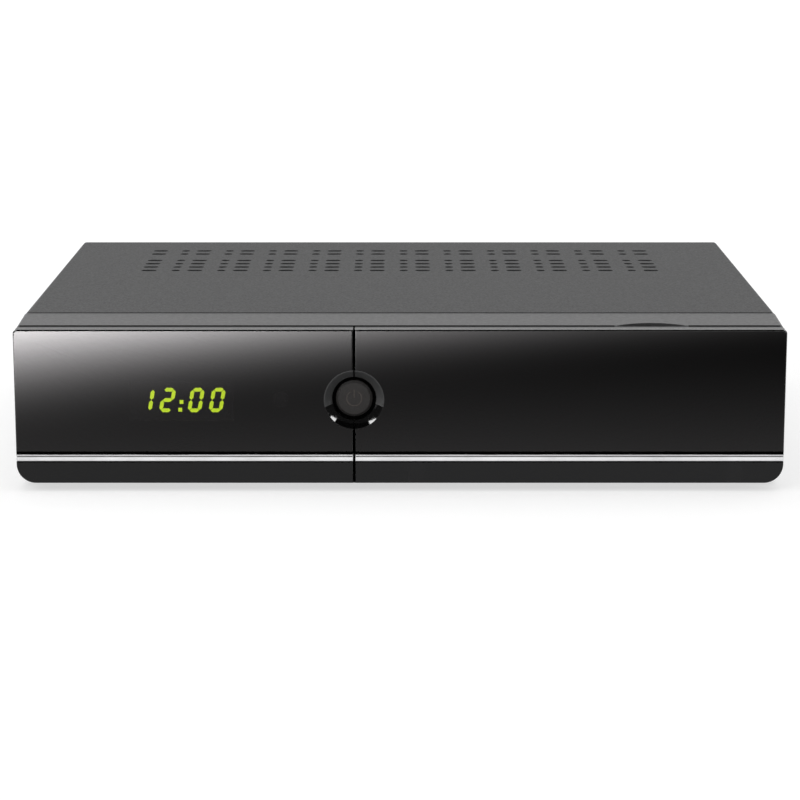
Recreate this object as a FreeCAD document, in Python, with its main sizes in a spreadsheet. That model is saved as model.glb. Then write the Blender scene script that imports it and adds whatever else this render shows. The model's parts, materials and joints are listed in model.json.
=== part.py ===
import FreeCAD, Part
import Sketcher
import math
import os
import re

from FreeCAD import Placement, Rotation, Vector

# A set-top satellite receiver, in millimetres.
# The origin is under the middle of the receiver, on the surface its feet stand on.
# The front looks along -Y, +X is the viewer's right and +Z is up.

DIMENSIONS = (
    ("front_half", 140.0, "half the width of the front plates"),
    ("front_y", -110.0, "face of the front plates"),
    ("front_low", 3.0, "underside of the front"),
    ("front_high", 60.0, "top edge of the front plates"),
    ("plate", 2.0, "smoked plate thickness"),
    ("shell", 1.6, "moulded wall of the carrier and the door"),
    ("shell_back", -103.8, "rear rim of the carrier and the door"),
    ("seam_x", -16.7, "middle of the seam between carrier and door"),
    ("seam_half", 0.3, "half the seam's gap"),
    ("low_corner", 7.0, "lower outer corner radius of the front"),
    ("high_corner", 1.6, "upper outer corner radius of the front"),
    ("button_z", 34.0, "height of the power button's axis"),
    ("ring_outer", 11.0, "outer radius of the dished ring"),
    ("ring_inner", 8.0, "inner radius of the dished ring"),
    ("ring_dish", 3.0, "depth of the dish"),
    ("ring_back", -105.4, "rear of the ring"),
    ("trim_low", 11.35, "lower edge of the bright strip"),
    ("trim_high", 13.95, "upper edge of the bright strip"),
    ("trim_gap", 0.45, "dark groove above and below the strip"),
    ("trim_sink", 1.1, "depth of the strip's groove in the plate"),
    ("trim_proud", 0.3, "how far the strip stands out"),
    ("cover_half", 139.5, "half the width of the steel cover"),
    ("cover_top", 61.5, "top of the steel cover"),
    ("cover_low", 4.6, "lower edge of the cover's sides"),
    ("cover_front", -82.0, "front edge of the cover"),
    ("cover_back", 100.0, "rear edge of the cover"),
    ("sheet_wall", 0.8, "steel sheet"),
    ("bend", 1.8, "outer bend radius of the cover"),
    ("slot_unit", 3.115, "grid unit of the slots across the cover"),
    ("slot_width", 3.5, "width of a slot"),
    ("slot_row", 9.085, "distance between slot rows"),
    ("slot_first", 19.5, "place of the front row of slots"),
    ("tray_half", 138.4, "half the width of the tray"),
    ("tray_low", 3.6, "underside of the tray"),
    ("tray_front", -96.6, "front edge of the tray"),
    ("tray_high", 20.0, "top of the tray's side flanges"),
    ("panel_back", 99.0, "rear face of the rear panel"),
    ("panel_high", 60.4, "top of the rear panel"),
    ("bezel_half", 139.7, "half the width of the bezel"),
    ("bezel_front", -102.6, "front edge of the bezel's top strip"),
    ("bezel_rim", 60.2, "height of the strip at its front edge"),
    ("bezel_rear", 61.3, "height of the strip where it meets the cover"),
    ("bay_face", -98.8, "front face of the wall behind the plates"),
    ("bay_wall", 2.0, "thickness of that wall"),
    ("notch_x", 91.5, "middle of the thumb notch"),
    ("notch_half", 12.6, "half the width of the thumb notch"),
    ("notch_deep", 4.2, "depth of the thumb notch"),
    ("hinge_y", -104.8, "door hinge axis, depth"),
    ("hinge_z", 8.0, "door hinge axis, height"),
    ("hinge_left", 6.0, "place of the left hinge lug"),
    ("hinge_right", 122.0, "place of the right hinge lug"),
    ("lug_half", 2.5, "half the width of a hinge lug"),
    ("pin", 1.0, "hinge pin radius"),
    ("running", 0.05, "running clearance of the hinge"),
    ("button", 6.7, "power button radius"),
    ("button_face", -107.0, "face of the power button"),
    ("digit_tall", 9.0, "height of a display digit"),
    ("digit_wide", 5.0, "width of a digit before its slant"),
    ("digit_line", 1.35, "width of a lit segment"),
    ("digit_lean", 10.0, "lean of the digits in degrees"),
    ("digit_step", 7.7, "distance between the digits of a pair"),
    ("colon_step", 10.4, "distance across the colon"),
    ("display_x", -79.5, "middle of the display"),
    ("display_z", 33.4, "height of the display"),
    ("display_face", -105.9, "face of the display module"),
    ("board", 1.6, "circuit board thickness"),
    ("board_low", 9.4, "underside of the flat boards"),
    ("key_z", 40.0, "height of the keys behind the door"),
    ("key_first", 30.0, "place of the first key"),
    ("key_step", 18.0, "distance between keys"),
    ("socket_z", 20.5, "height of the sockets' axes at the rear"),
    ("foot", 6.5, "radius of a foot"),
    ("foot_x", 112.0, "feet from the middle, sideways"),
    ("foot_y", 78.0, "feet from the middle, front to back"),
)
ALIASES = {alias for alias, size, note in DIMENSIONS}

os.makedirs("parts", exist_ok=True)
doc = FreeCAD.newDocument("satellite_receiver")
sheet = doc.addObject("Spreadsheet::Sheet", "dims")
for row, (alias, size, note) in enumerate(DIMENSIONS, start=1):
    sheet.set(f"A{row}", note)
    sheet.set(f"B{row}", str(size))
    sheet.setAlias(f"B{row}", alias)
doc.recompute()

SUB_PARTS = []


def size(alias):
    """The value of one driving dimension, for shapes that are worked out by formula."""
    return float(getattr(sheet, alias))


def cells(expression):
    """The expression with each alias written as a cell of the sheet."""
    word = r"[a-z_][a-z_0-9]*"
    return re.sub(word, lambda found: "dims." + found[0] if found[0] in ALIASES else found[0],
                  str(expression))


def bind(thing, **properties):
    for name, expression in properties.items():
        thing.setExpression(name, cells(expression))
    return thing


def place(thing, at):
    for axis, expression in zip("xyz", at):
        thing.setExpression(f"Placement.Base.{axis}", cells(expression))
    return thing


def finished(thing, label):
    """Marks an object as a sub-part: its label is its node's name."""
    thing.Label = label
    SUB_PARTS.append(thing)
    return thing


def block(name, x, y, z):
    """A box from three pairs of low and high edges."""
    box = doc.addObject("Part::Box", name)
    bind(box, Length=f"({x[1]}) - ({x[0]})", Width=f"({y[1]}) - ({y[0]})", Height=f"({z[1]}) - ({z[0]})")
    return place(box, (x[0], y[0], z[0]))


TURNS = {
    "z": Rotation(),
    "y": Rotation(Vector(1, 0, 0), -90),
    "-y": Rotation(Vector(1, 0, 0), 90),
    "x": Rotation(Vector(0, 1, 0), 90),
}


def rod(name, radius, length, at, along="y"):
    """A round bar from a point, along one axis."""
    bar = doc.addObject("Part::Cylinder", name)
    bar.Placement = Placement(Vector(), TURNS[along])
    bind(bar, Radius=radius, Height=length)
    return place(bar, at)


def joined(name, *parts):
    fuse = doc.addObject("Part::MultiFuse", name)
    fuse.Shapes = list(parts)
    fuse.Refine = True
    return fuse


def group(name, *parts):
    pieces = doc.addObject("Part::Compound", name)
    pieces.Links = list(parts)
    return pieces


def carved(name, base, *tools):
    cut = doc.addObject("Part::Cut", name)
    cut.Base = base
    cut.Tool = tools[0] if len(tools) == 1 else joined(name + "_tools", *tools)
    return cut


def shaped(name, shape):
    """A shape worked out by formula."""
    feature = doc.addObject("Part::Feature", name)
    feature.Shape = shape
    feature.Placement = shape.Placement
    return feature


def outline(body, role, name, corners, offset=("0", "0", "0")):
    """A closed polygon on a plane of the body; its corners are lengths from the sketch's own origin."""
    sketch = body.newObject("Sketcher::SketchObject", name)
    plane = next(item for item in body.Origin.OriginFeatures if item.Role == role)
    sketch.AttachmentSupport = [(plane, "")]
    sketch.MapMode = "FlatFace"
    count = len(corners)
    turn = 2 * math.pi / count
    starts = [Vector(50 + 40 * math.cos(turn * i), 50 - 40 * math.sin(turn * i), 0) for i in range(count)]
    for i in range(count):
        sketch.addGeometry(Part.LineSegment(starts[i], starts[(i + 1) % count]))
    for i in range(count):
        sketch.addConstraint(Sketcher.Constraint("Coincident", i, 2, (i + 1) % count, 1))
    for i, corner in enumerate(corners):
        for kind, zero_axis, length, first in (
            ("DistanceX", -2, corner[0], starts[i].x),
            ("DistanceY", -1, corner[1], starts[i].y),
        ):
            if length == "0":
                sketch.addConstraint(Sketcher.Constraint("PointOnObject", i, 1, zero_axis))
            else:
                index = sketch.addConstraint(Sketcher.Constraint(kind, -1, 1, i, 1, first))
                sketch.setExpression(f"Constraints[{index}]", cells(length))
    for axis, expression in zip("xyz", offset):
        sketch.setExpression(f"AttachmentOffset.Base.{axis}", cells(expression))
    return sketch


def padded_body(name, role, corners, offset, length):
    """A body made by padding one outline."""
    body = doc.addObject("PartDesign::Body", name)
    pad = body.newObject("PartDesign::Pad", name + "_pad")
    pad.Profile = outline(body, role, name + "_sketch", corners, offset)
    bind(pad, Length=length)
    body.Tip = pad
    doc.recompute()
    return body


def turned_body(name, corners, at, towards="z"):
    """A body turned about its own axis; each corner is a radius and a height."""
    body = doc.addObject("PartDesign::Body", name)
    turn = body.newObject("PartDesign::Revolution", name + "_turn")
    sketch = outline(body, "XZ_Plane", name + "_sketch", corners)
    turn.Profile = sketch
    turn.ReferenceAxis = (sketch, ["V_Axis"])
    turn.Angle = 360
    body.Tip = turn
    body.Placement = Placement(Vector(), TURNS[towards])
    place(body, at)
    doc.recompute()
    return body


def rounded(body, name, radius, chosen):
    """Rounds the edges of a body's last feature that the test picks."""
    doc.recompute()
    base = body.Tip
    names = [f"Edge{i}" for i, edge in enumerate(base.Shape.Edges, start=1) if chosen(edge)]
    fillet = body.newObject("PartDesign::Fillet", name)
    fillet.Base = (base, names)
    bind(fillet, Radius=radius)
    body.Tip = fillet
    doc.recompute()


def runs_along(edge, axis):
    span = edge.BoundBox
    lengths = {"x": span.XLength, "y": span.YLength, "z": span.ZLength}
    return lengths[axis] > 0.01 and all(size < 0.01 for key, size in lengths.items() if key != axis)


def copies(name, template, places):
    """One node of identical pieces: links to the template at each place."""
    links = []
    for i, at in enumerate(places):
        link = doc.addObject("App::Link", f"{name}_{i}")
        link.LinkedObject = template
        links.append(place(link, at))
    return finished(group(name, *links), name)


# The two front plates: a smoked plate glued on a black moulded shell, one fixed and one a door.


def front_slab(name, x, y, z, outer_corner, top_corner):
    """A slab of the front with its outer corners rounded; x runs from the seam outwards on either side."""
    low, high = x
    corners = [("0", "0"), (f"({high}) - ({low})", "0"),
               (f"({high}) - ({low})", f"({z[1]}) - ({z[0]})"), ("0", f"({z[1]}) - ({z[0]})")]
    body = padded_body(name, "XZ_Plane", corners, (low, z[0], f"-({y[1]})"), f"({y[1]}) - ({y[0]})")
    outer = -1 if "seam" in high else 1
    middle_z = (size("front_low") + size("front_high")) / 2

    def on_outside(edge):
        return runs_along(edge, "y") and (edge.BoundBox.Center.x - size("seam_x")) * outer > 50

    rounded(body, name + "_low", outer_corner, lambda e: on_outside(e) and e.BoundBox.Center.z < middle_z)
    rounded(body, name + "_high", top_corner, lambda e: on_outside(e) and e.BoundBox.Center.z > middle_z)
    return body


def front_side(side, low, high):
    """The shell and the smoked plate of one side."""
    inner_low = f"{low} + shell"
    inner_high = f"{high} - shell"
    blank = front_slab(side + "_blank", (low, high), ("front_y + plate", "shell_back"),
                       ("front_low", "front_high"), "low_corner", "high_corner")
    hollow = front_slab(side + "_hollow", (inner_low, inner_high),
                        ("front_y + plate + shell", "shell_back + 1"),
                        ("front_low + shell", "front_high - shell"), "low_corner - shell", "0.4")
    ring_hole = rod(side + "_ring_hole", "ring_outer", "20", ("seam_x", "front_y - 5", "button_z"))
    plate = front_slab(side + "_plate_blank", (low, high), ("front_y", "front_y + plate"),
                       ("front_low", "front_high"), "low_corner", "high_corner")
    face = size("front_y")
    rounded(plate, side + "_plate_edge", "0.6",
            lambda e: e.BoundBox.YMax < face + 0.01 and e.BoundBox.YMin > face - 0.01)
    groove = block(side + "_groove", (f"{low} - 1", f"{high} + 1"), ("front_y - 1", "front_y + trim_sink"),
                   ("trim_low - trim_gap", "trim_high + trim_gap"))
    return blank, hollow, ring_hole, carved(side + "_plate", plate, ring_hole, groove)


left = ("-front_half", "seam_x - seam_half")
right = ("seam_x + seam_half", "front_half")

left_blank, left_hollow, left_hole, left_plate = front_side("left", *left)
finished(left_plate, "fascia_plate")
display_window = block("display_window", ("display_x - 19", "display_x + 19"), ("front_y", "shell_back"),
                       ("display_z - 7.4", "display_z + 7.4"))
sensor_window = rod("sensor_window", "3", "12", ("display_x + 36", "front_y", "button_z"))
pegs = [rod(f"carrier_peg_{i}", "2.2", "bay_face - front_y - plate", (x, "front_y + plate", z))
        for i, (x, z) in enumerate((("-130", "18"), ("-130", "52"), ("-34", "18"), ("-34", "52")))]
left_shell = carved("left_shell", left_blank, left_hollow, left_hole, display_window, sensor_window)
finished(joined("fascia_carrier_body", left_shell, *pegs), "fascia_carrier")

right_blank, right_hollow, right_hole, right_plate = front_side("right", *right)
finished(right_plate, "door_plate")
lug_windows = []
ears = []
ear_holes = []
for i, lug_x in enumerate(("hinge_left", "hinge_right")):
    lug_windows.append(block(f"lug_window_{i}", (f"{lug_x} - lug_half - 0.4", f"{lug_x} + lug_half + 0.4"),
                             ("front_y + plate", "shell_back + 2"), ("front_low - 1", "hinge_z + 2.9")))
    ear_holes.append(rod(f"ear_hole_{i}", "pin", "12", (f"{lug_x} - 6", "hinge_y", "hinge_z"), "x"))
    for j, start in enumerate((f"{lug_x} - lug_half - 2.8", f"{lug_x} + lug_half + 0.8")):
        ears.append(block(f"ear_{i}{j}", (start, f"{start} + 2"), ("front_y + plate + 0.5", "hinge_y"),
                          ("hinge_z - 2", "hinge_z + 2")))
        ears.append(rod(f"ear_end_{i}{j}", "2", "2", (start, "hinge_y", "hinge_z"), "x"))
catch_peg = rod("catch_peg", "1.5", "9.8", ("60", "front_y + plate + 0.5", "front_high - 7"))
right_shell = carved("right_shell", right_blank, right_hollow, right_hole, *lug_windows)
door_solid = joined("door_solid", right_shell, catch_peg, *ears)
finished(carved("door_body", door_solid, *ear_holes), "door_shell")
finished(group("hinge_pin_group", *[
    rod(f"hinge_pin_{i}", "pin", "10.6", (f"{lug_x} - 5.3", "hinge_y", "hinge_z"), "x")
    for i, lug_x in enumerate(("hinge_left", "hinge_right"))]), "hinge_pins")


# The bright strips: a thin upper band above a broader one, parted by a fine notch, with bevelled outer edges.


def bright_strip(name, low, high):
    tall = size("trim_high") - size("trim_low")
    face = -size("trim_sink") - size("trim_proud")
    bevel = 0.12
    notch_deep = 0.35
    notch_low = 0.6 * tall
    notch_high = 0.72 * tall
    outline_points = (
        (0, 0),
        (face + bevel, 0),
        (face, bevel),
        (face, notch_low),
        (face + notch_deep, notch_low),
        (face + notch_deep, notch_high),
        (face, notch_high),
        (face, tall - bevel),
        (face + bevel, tall),
        (0, tall),
    )
    points = [Vector(0, y, z) for y, z in outline_points]
    section = Part.Face(Part.makePolygon(points + points[:1]))
    bar = section.extrude(Vector(high - low, 0, 0))
    bar.translate(Vector(low, size("front_y") + size("trim_sink"), size("trim_low")))
    return finished(shaped(name, bar), name)


seam_left = size("seam_x") - size("seam_half")
seam_right = size("seam_x") + size("seam_half")
bright_strip("fascia_trim", -size("front_half") + 0.1, seam_left - 0.2)
bright_strip("door_trim", seam_right + 0.2, size("front_half") - 0.1)

# The dished ring around the power button, split by the seam.
ring = turned_body("ring_blank", [
    ("ring_inner", "ring_back - front_y - 0.6"), ("ring_inner", "ring_dish"),
    ("ring_outer - 0.35", "0.02"), ("ring_outer", "0.02"), ("ring_outer", "ring_back - front_y"),
    ("ring_inner + 0.6", "ring_back - front_y"),
], ("seam_x", "front_y", "button_z"), "y")
ring_room = ("front_y - 5", "front_y + 20")
for name, low, high in (("ring_left", "seam_x - 30", "seam_x - seam_half"),
                        ("ring_right", "seam_x + seam_half", "seam_x + 30")):
    half = doc.addObject("Part::Common", name + "_half")
    half.Base = ring
    half.Tool = block(name + "_room", (low, high), ring_room, ("button_z - 30", "button_z + 30"))
    finished(half, name)

# The bezel: a moulded frame behind the plates, with the strip that shows above them.
strip = padded_body("bezel_strip", "YZ_Plane", [
    ("0", "0"), ("cover_front - bezel_front + 7", "0"), ("cover_front - bezel_front + 7", "2"),
    ("cover_front - bezel_front", "2"), ("cover_front - bezel_front", "bezel_rear - bezel_rim + 2.4"),
    ("0", "2.4"),
], ("bezel_front", "bezel_rim - 2.4", "-bezel_half"), "2 * bezel_half")
rounded(strip, "bezel_strip_edge", "0.8", lambda e: runs_along(e, "x")
        and e.BoundBox.ZMax > size("bezel_rim") - 0.01 and e.BoundBox.YMax < size("bezel_front") + 0.01)
rounded(strip, "bezel_strip_side", "1.5", lambda e: abs(e.BoundBox.Center.x) > 139
        and e.BoundBox.ZMax > size("bezel_rear") - 0.01 and e.BoundBox.YLength > 10)
lap_trim = [block(f"lap_trim_{i}", x, ("cover_front", "cover_front + 10"), ("0", "70"))
            for i, x in enumerate((("-bezel_half - 1", "-cover_half + 1.1"),
                                   ("cover_half - 1.1", "bezel_half + 1")))]
side_walls = [block(f"bezel_side_{i}", x, ("bezel_front", "cover_front"),
                    ("front_low + 1", "bezel_rim - 1.2"))
              for i, x in enumerate((("-bezel_half", "-bezel_half + 2"), ("bezel_half - 2", "bezel_half")))]
side_laps = [block(f"bezel_lap_{i}", x, ("cover_front - 2", "cover_front + 7"),
                   ("tray_high + 1", "bezel_rim - 1.2"))
             for i, x in enumerate((("-cover_half + 1.1", "-cover_half + 3"),
                                    ("cover_half - 3", "cover_half - 1.1")))]
bay = block("bay", ("-bezel_half + 1", "bezel_half - 1"), ("bay_face", "bay_face + bay_wall"),
            ("front_low + 1", "bezel_rim - 1"))
sill = block("sill", ("-bezel_half + 1", "bezel_half - 1"), ("bay_face", "cover_front"),
             ("front_low + 1", "front_low + 2.4"))
sill_cut = block("sill_cut", ("-tray_half - 0.2", "tray_half + 0.2"), ("tray_front", "0"),
                 ("0", "tray_low + 1.1"))
guide = rod("button_guide", "ring_inner - 0.2", "bay_face + 1 - ring_back - 0.4",
            ("seam_x", "ring_back + 0.4", "button_z"))
guide_bore = rod("guide_bore", "button + 0.25", "30", ("seam_x", "front_y", "button_z"))
lugs = []
lug_bores = []
for i, lug_x in enumerate(("hinge_left", "hinge_right")):
    span = (f"{lug_x} - lug_half", f"{lug_x} + lug_half")
    lugs.append(block(f"lug_{i}", span, ("hinge_y", "bay_face + 1"), ("hinge_z - 2", "hinge_z + 2")))
    lugs.append(rod(f"lug_end_{i}", "2", "2 * lug_half", (span[0], "hinge_y", "hinge_z"), "x"))
    lug_bores.append(rod(f"lug_bore_{i}", "pin + running", "2 * lug_half + 2",
                         (f"{span[0]} - 1", "hinge_y", "hinge_z"),
                         "x"))
door_sweep = block("door_sweep", ("seam_x", "bezel_half + 5"), ("bezel_front - 5", "bay_face - 0.01"),
                   ("0", "hinge_z + 6"))
display_port = block("display_port", ("display_x - 17", "display_x + 17"), ("front_y", "bay_face + 9"),
                     ("display_z - 7", "display_z + 7"))
sensor_port = rod("sensor_port", "4.2", "30", ("display_x + 36", "front_y", "button_z"))
key_ports = [block(f"key_port_{i}", (f"key_first + {i} * key_step - 4.8",
                                     f"key_first + {i} * key_step + 4.8"),
                   ("front_y", "bay_face + 9"), ("key_z - 3.3", "key_z + 3.3")) for i in range(4)]
card_port = block("card_port", ("27", "83"), ("front_y", "bay_face + 9"), ("board_low + board + 2.2",
                                                                         "board_low + board + 4.2"))
usb_port = block("usb_port", ("97", "111"), ("front_y", "bay_face + 9"), ("board_low + board + 0.4",
                                                                      "board_low + board + 7.4"))
catch_port = block("catch_port", ("60 - 3", "60 + 3"), ("front_y", "bay_face + 9"),
                   ("front_high - 10", "front_high - 4"))
pillars = [rod(f"pillar_{i}", "2", reach, (x, "bay_face + bay_wall - 0.5", z))
           for i, (x, z, reach) in enumerate((
               ("display_x - 36", "25", "2.3"), ("display_x - 36", "43", "2.3"), ("seam_x - 14", "25", "2.3"),
               ("key_first - 7", "34", "6.3"), ("key_first - 7", "46", "6.3"),
               ("key_first + 3 * key_step + 7", "34", "6.3"), ("key_first + 3 * key_step + 7", "46", "6.3")))]
notch_radius = "(notch_half ^ 2 + notch_deep ^ 2) / (2 * notch_deep)"
notch = rod("thumb_notch", notch_radius, "9", ("notch_x", f"bezel_front + notch_deep - ({notch_radius})",
                                               "bezel_rim - 7"), "z")
bezel_solid = joined("bezel_solid", strip, bay, sill, guide, *side_walls, *side_laps, *pillars)
bezel_cut = carved("bezel_cut", bezel_solid, door_sweep, sill_cut, notch, display_port, sensor_port, card_port,
                   usb_port, catch_port, guide_bore, *lap_trim, *key_ports)
bezel_lugs = joined("bezel_lugs", bezel_cut, *lugs)
finished(carved("bezel_body", bezel_lugs, *lug_bores), "front_bezel")

# A small clip behind the bezel holds the door's peg.
catch_block = block("catch_block", ("60 - 3", "60 + 3"), ("bay_face + 0.2", "bay_face + 6"),
                    ("front_high - 10", "front_high - 4"))
catch_hole = rod("catch_hole", "1.8", "12", ("60", "bay_face - 3", "front_high - 7"))
finished(carved("catch_body", catch_block, catch_hole), "door_catch")

# The steel cover: a folded channel with staggered rows of slots over its rear half.
cover = padded_body("cover_channel", "XZ_Plane", [
    ("0", "0"), ("sheet_wall", "0"), ("sheet_wall", "cover_top - cover_low - sheet_wall"),
    ("2 * cover_half - sheet_wall", "cover_top - cover_low - sheet_wall"),
    ("2 * cover_half - sheet_wall", "0"),
    ("2 * cover_half", "0"), ("2 * cover_half", "cover_top - cover_low"), ("0", "cover_top - cover_low"),
], ("-cover_half", "cover_low", "-cover_back"), "cover_back - cover_front")
cover_top = size("cover_top")
cover_wall = size("sheet_wall")
rounded(cover, "cover_bends", "bend", lambda e: runs_along(e, "y") and e.BoundBox.ZMin > cover_top - 0.01)
rounded(cover, "cover_inner_bends", "bend - sheet_wall", lambda e: runs_along(e, "y")
        and abs(e.BoundBox.Center.z - cover_top + cover_wall) < 0.01 and abs(e.BoundBox.Center.x) > 130)


def slot(start, end, width, depth):
    """A round-ended slot lying along X at the origin, cut downwards."""
    radius = width / 2
    left_end = Vector(start + radius, 0, 0)
    if end - start < width + 0.01:
        return Part.makeCylinder(radius, depth, Vector((start + end) / 2, 0, 0))
    long = end - start - width
    bar = Part.makeBox(long, width, depth, left_end - Vector(0, radius, 0))
    ends = [Part.makeCylinder(radius, depth, left_end + Vector(dx, 0, 0)) for dx in (0, long)]
    return bar.fuse(ends).removeSplitter()


LONG_SLOTS = 12
ROWS = (0, 1, 2, 3, 5, 6)
unit = size("slot_unit")
width = size("slot_width")
pattern_start = -(LONG_SLOTS - 1) * 3 * unit - unit
slots = []
for row in ROWS:
    y = size("slot_first") + row * size("slot_row")
    for i in range(LONG_SLOTS):
        start = pattern_start + 6 * unit * i
        pieces = [(start, start + 2 * unit)]
        if i < LONG_SLOTS - 1:
            pieces.append((start + 4.5 * unit - width / 2, start + 4.5 * unit + width / 2))
        for low, high in pieces:
            cutter = slot(low, high, width, 4)
            cutter.translate(Vector(0, y, cover_top - 3))
            slots.append(cutter)
SIDE_SLOTS = 14
for side in (-1, 1):
    for i in range(SIDE_SLOTS):
        for level in (30, 42):
            cutter = slot(-4, 4, 2.4, 4)
            cutter.rotate(Vector(), Vector(0, 1, 0), 90)
            place_x = side * size("cover_half") - 2
            cutter.translate(Vector(place_x, -20 + 7.5 * i, level))
            slots.append(cutter)
cover_slots = shaped("cover_slots", Part.makeCompound(slots))
screw_holes = [rod(f"cover_screw_hole_{i}", "1.6", "2 * cover_half + 10", ("-cover_half - 5", y, "12"), "x")
               for i, y in enumerate(("-50", "60"))]
rear_lip = block("rear_lip", ("-cover_half + 3", "cover_half - 3"), ("cover_back - sheet_wall", "cover_back"),
                 ("cover_top - 4.5", "cover_top - 0.4"))
cover_folded = joined("cover_folded", cover, rear_lip)
finished(carved("cover_body", cover_folded, cover_slots, *screw_holes), "top_cover")

# The steel tray under everything, with air slots, and the rear panel that carries the sockets.
tray = padded_body("tray_channel", "XZ_Plane", [
    ("0", "0"), ("2 * tray_half", "0"), ("2 * tray_half", "tray_high - tray_low"),
    ("2 * tray_half - sheet_wall", "tray_high - tray_low"), ("2 * tray_half - sheet_wall", "sheet_wall"),
    ("sheet_wall", "sheet_wall"), ("sheet_wall", "tray_high - tray_low"), ("0", "tray_high - tray_low"),
], ("-tray_half", "tray_low", "-(panel_back - sheet_wall)"), "panel_back - sheet_wall - tray_front")
rounded(tray, "tray_bends", "bend - 0.4", lambda e: runs_along(e, "y")
        and e.BoundBox.ZMax < size("tray_low") + 0.01 and abs(e.BoundBox.Center.x) > 130)
tray_slots = []
for column in range(8):
    for row in range(5):
        cutter = slot(-7, 7, 3, 4)
        cutter.translate(Vector(-77 + 22 * column, -40 + 24 * row, size("tray_low") - 1))
        tray_slots.append(cutter)
tray_cuts = shaped("tray_slots", Part.makeCompound(tray_slots))
front_corners = [block(f"tray_relief_{i}", x, ("tray_front - 1", "cover_front"),
                       ("tray_low - 1", "tray_high + 1"))
                 for i, x in enumerate((("-tray_half - 1", "-tray_half + 5"),
                                        ("tray_half - 5", "tray_half + 1")))]
tray_holes = [rod(f"tray_hole_{i}", "1.3", "2 * tray_half + 10", ("-tray_half - 5", y, "12"), "x")
              for i, y in enumerate(("-50", "60"))]
finished(carved("tray_body", tray, tray_cuts, *front_corners, *tray_holes), "chassis_tray")

rear_face = ("panel_back - sheet_wall", "panel_back")
rear_sheet = block("rear_sheet", ("-tray_half", "tray_half"), rear_face, ("tray_low", "panel_high"))
rear_flange = block("rear_flange", ("-tray_half + 4", "tray_half - 4"),
                    ("panel_back - 9", "panel_back - 0.4"),
                    ("tray_low + sheet_wall", "tray_low + 2 * sheet_wall"))

# Places of the rear sockets, seen from the front.
INLET_X = "-116"
ROCKER_X = "-84"
SERVICE_X = "-50"
SCART_X = "-8"
RCA_X = ("31", "45", "59")
OPTICAL_X = "75"
HDMI_X = "89.5"
TUNER_X = ("110", "127")


def opening(name, x, half_wide, half_high, z="socket_z"):
    return block(name, (f"{x} - {half_wide}", f"{x} + {half_wide}"), ("panel_back - 4", "panel_back + 4"),
                 (f"{z} - {half_high}", f"{z} + {half_high}"))


rear_openings = [
    opening("inlet_opening", INLET_X, 11.1, 6.1, "24"),
    opening("rocker_opening", ROCKER_X, 9.6, 6.6, "24"),
    opening("service_opening", SERVICE_X, 9.2, 5.2),
    opening("scart_opening", SCART_X, 25.3, 7.8),
    opening("optical_opening", OPTICAL_X, 5.2, 5.2),
    opening("hdmi_opening", HDMI_X, 7.9, 3.2, "board_low + board + 3.2"),
]
rear_openings += [rod(f"rca_opening_{i}", "5.3", "8", (x, "panel_back - 4", "socket_z"))
                  for i, x in enumerate(RCA_X)]
rear_openings += [rod(f"tuner_opening_{i}", "5.1", "8", (x, "panel_back - 4", "socket_z"))
                  for i, x in enumerate(TUNER_X)]
rear_openings += [rod(f"panel_screw_hole_{i}", "1.3", "8", (x, "panel_back - 4", z))
                  for i, (x, z) in enumerate((("-132", "48"), ("0", "48"), ("132", "48"), ("-62", "10")))]
rear_vents = []
for column in range(9):
    cutter = slot(-8, 8, 2.6, 4)
    cutter.rotate(Vector(), Vector(1, 0, 0), 90)
    for level in (40, 46):
        vent = cutter.copy()
        vent.translate(Vector(-116 + 29 * column, size("panel_back") + 2, level))
        rear_vents.append(vent)
rear_vent_cuts = shaped("rear_vents", Part.makeCompound(rear_vents))
rear_solid = joined("rear_solid", rear_sheet, rear_flange)
finished(carved("rear_body", rear_solid, rear_vent_cuts, *rear_openings), "rear_panel")


# Screws with a cross recess. Their heads lie outside the sheet that they hold.


def screw(name, head_radius, head, shank_radius, shank, along):
    """A pan-head screw at the origin, its shank along one axis and its head on the other side."""
    stem = rod(name + "_stem", shank_radius, f"{shank} + 0.2", ("0", "0", "-0.2"), "z")
    cap = rod(name + "_cap", head_radius, head, ("0", "0", f"-({head})"), "z")
    slots_cut = [block(f"{name}_cross_{i}", x, y, (f"-({head}) - 1", f"-({head}) / 2"))
                 for i, (x, y) in enumerate(((("-1.5", "1.5"), ("-0.35", "0.35")),
                                             (("-0.35", "0.35"), ("-1.5", "1.5"))))]
    solid = carved(name, joined(name + "_solid", stem, cap), *slots_cut)
    solid.Placement = Placement(Vector(), along)
    return solid


FORWARD = Rotation(Vector(1, 0, 0), 90)
RIGHT = Rotation(Vector(0, 1, 0), 90)
LEFT = Rotation(Vector(0, 1, 0), -90)
DOWN = Rotation(Vector(1, 0, 0), 180)


def placed_screws(name, template, places):
    """Links keep the template's own direction."""
    links = []
    for i, at in enumerate(places):
        link = doc.addObject("App::Link", f"{name}_{i}")
        link.LinkedObject = template
        link.LinkTransform = True
        links.append(place(link, at))
    return links


side_left = screw("side_screw_left", "2.8", "1.8", "1.25", "4.4", RIGHT)
side_right = screw("side_screw_right", "2.8", "1.8", "1.25", "4.4", LEFT)
side_links = placed_screws("cover_screw_left", side_left, [("-cover_half", y, "12") for y in ("-50", "60")])
side_links += placed_screws("cover_screw_right", side_right, [("cover_half", y, "12") for y in ("-50", "60")])
rear_screw = screw("rear_screw_stock", "2.6", "1.6", "1.25", "5", FORWARD)
rear_links = placed_screws("rear_screw", rear_screw, [
    (x, "panel_back", z) for x, z in (("-132", "48"), ("0", "48"), ("132", "48"), ("-62", "10"))])
finished(group("case_screw_group", *side_links, *rear_links), "case_screws")
board_screw = screw("board_screw_stock", "2.4", "1.5", "1.25", "4", DOWN)

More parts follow.
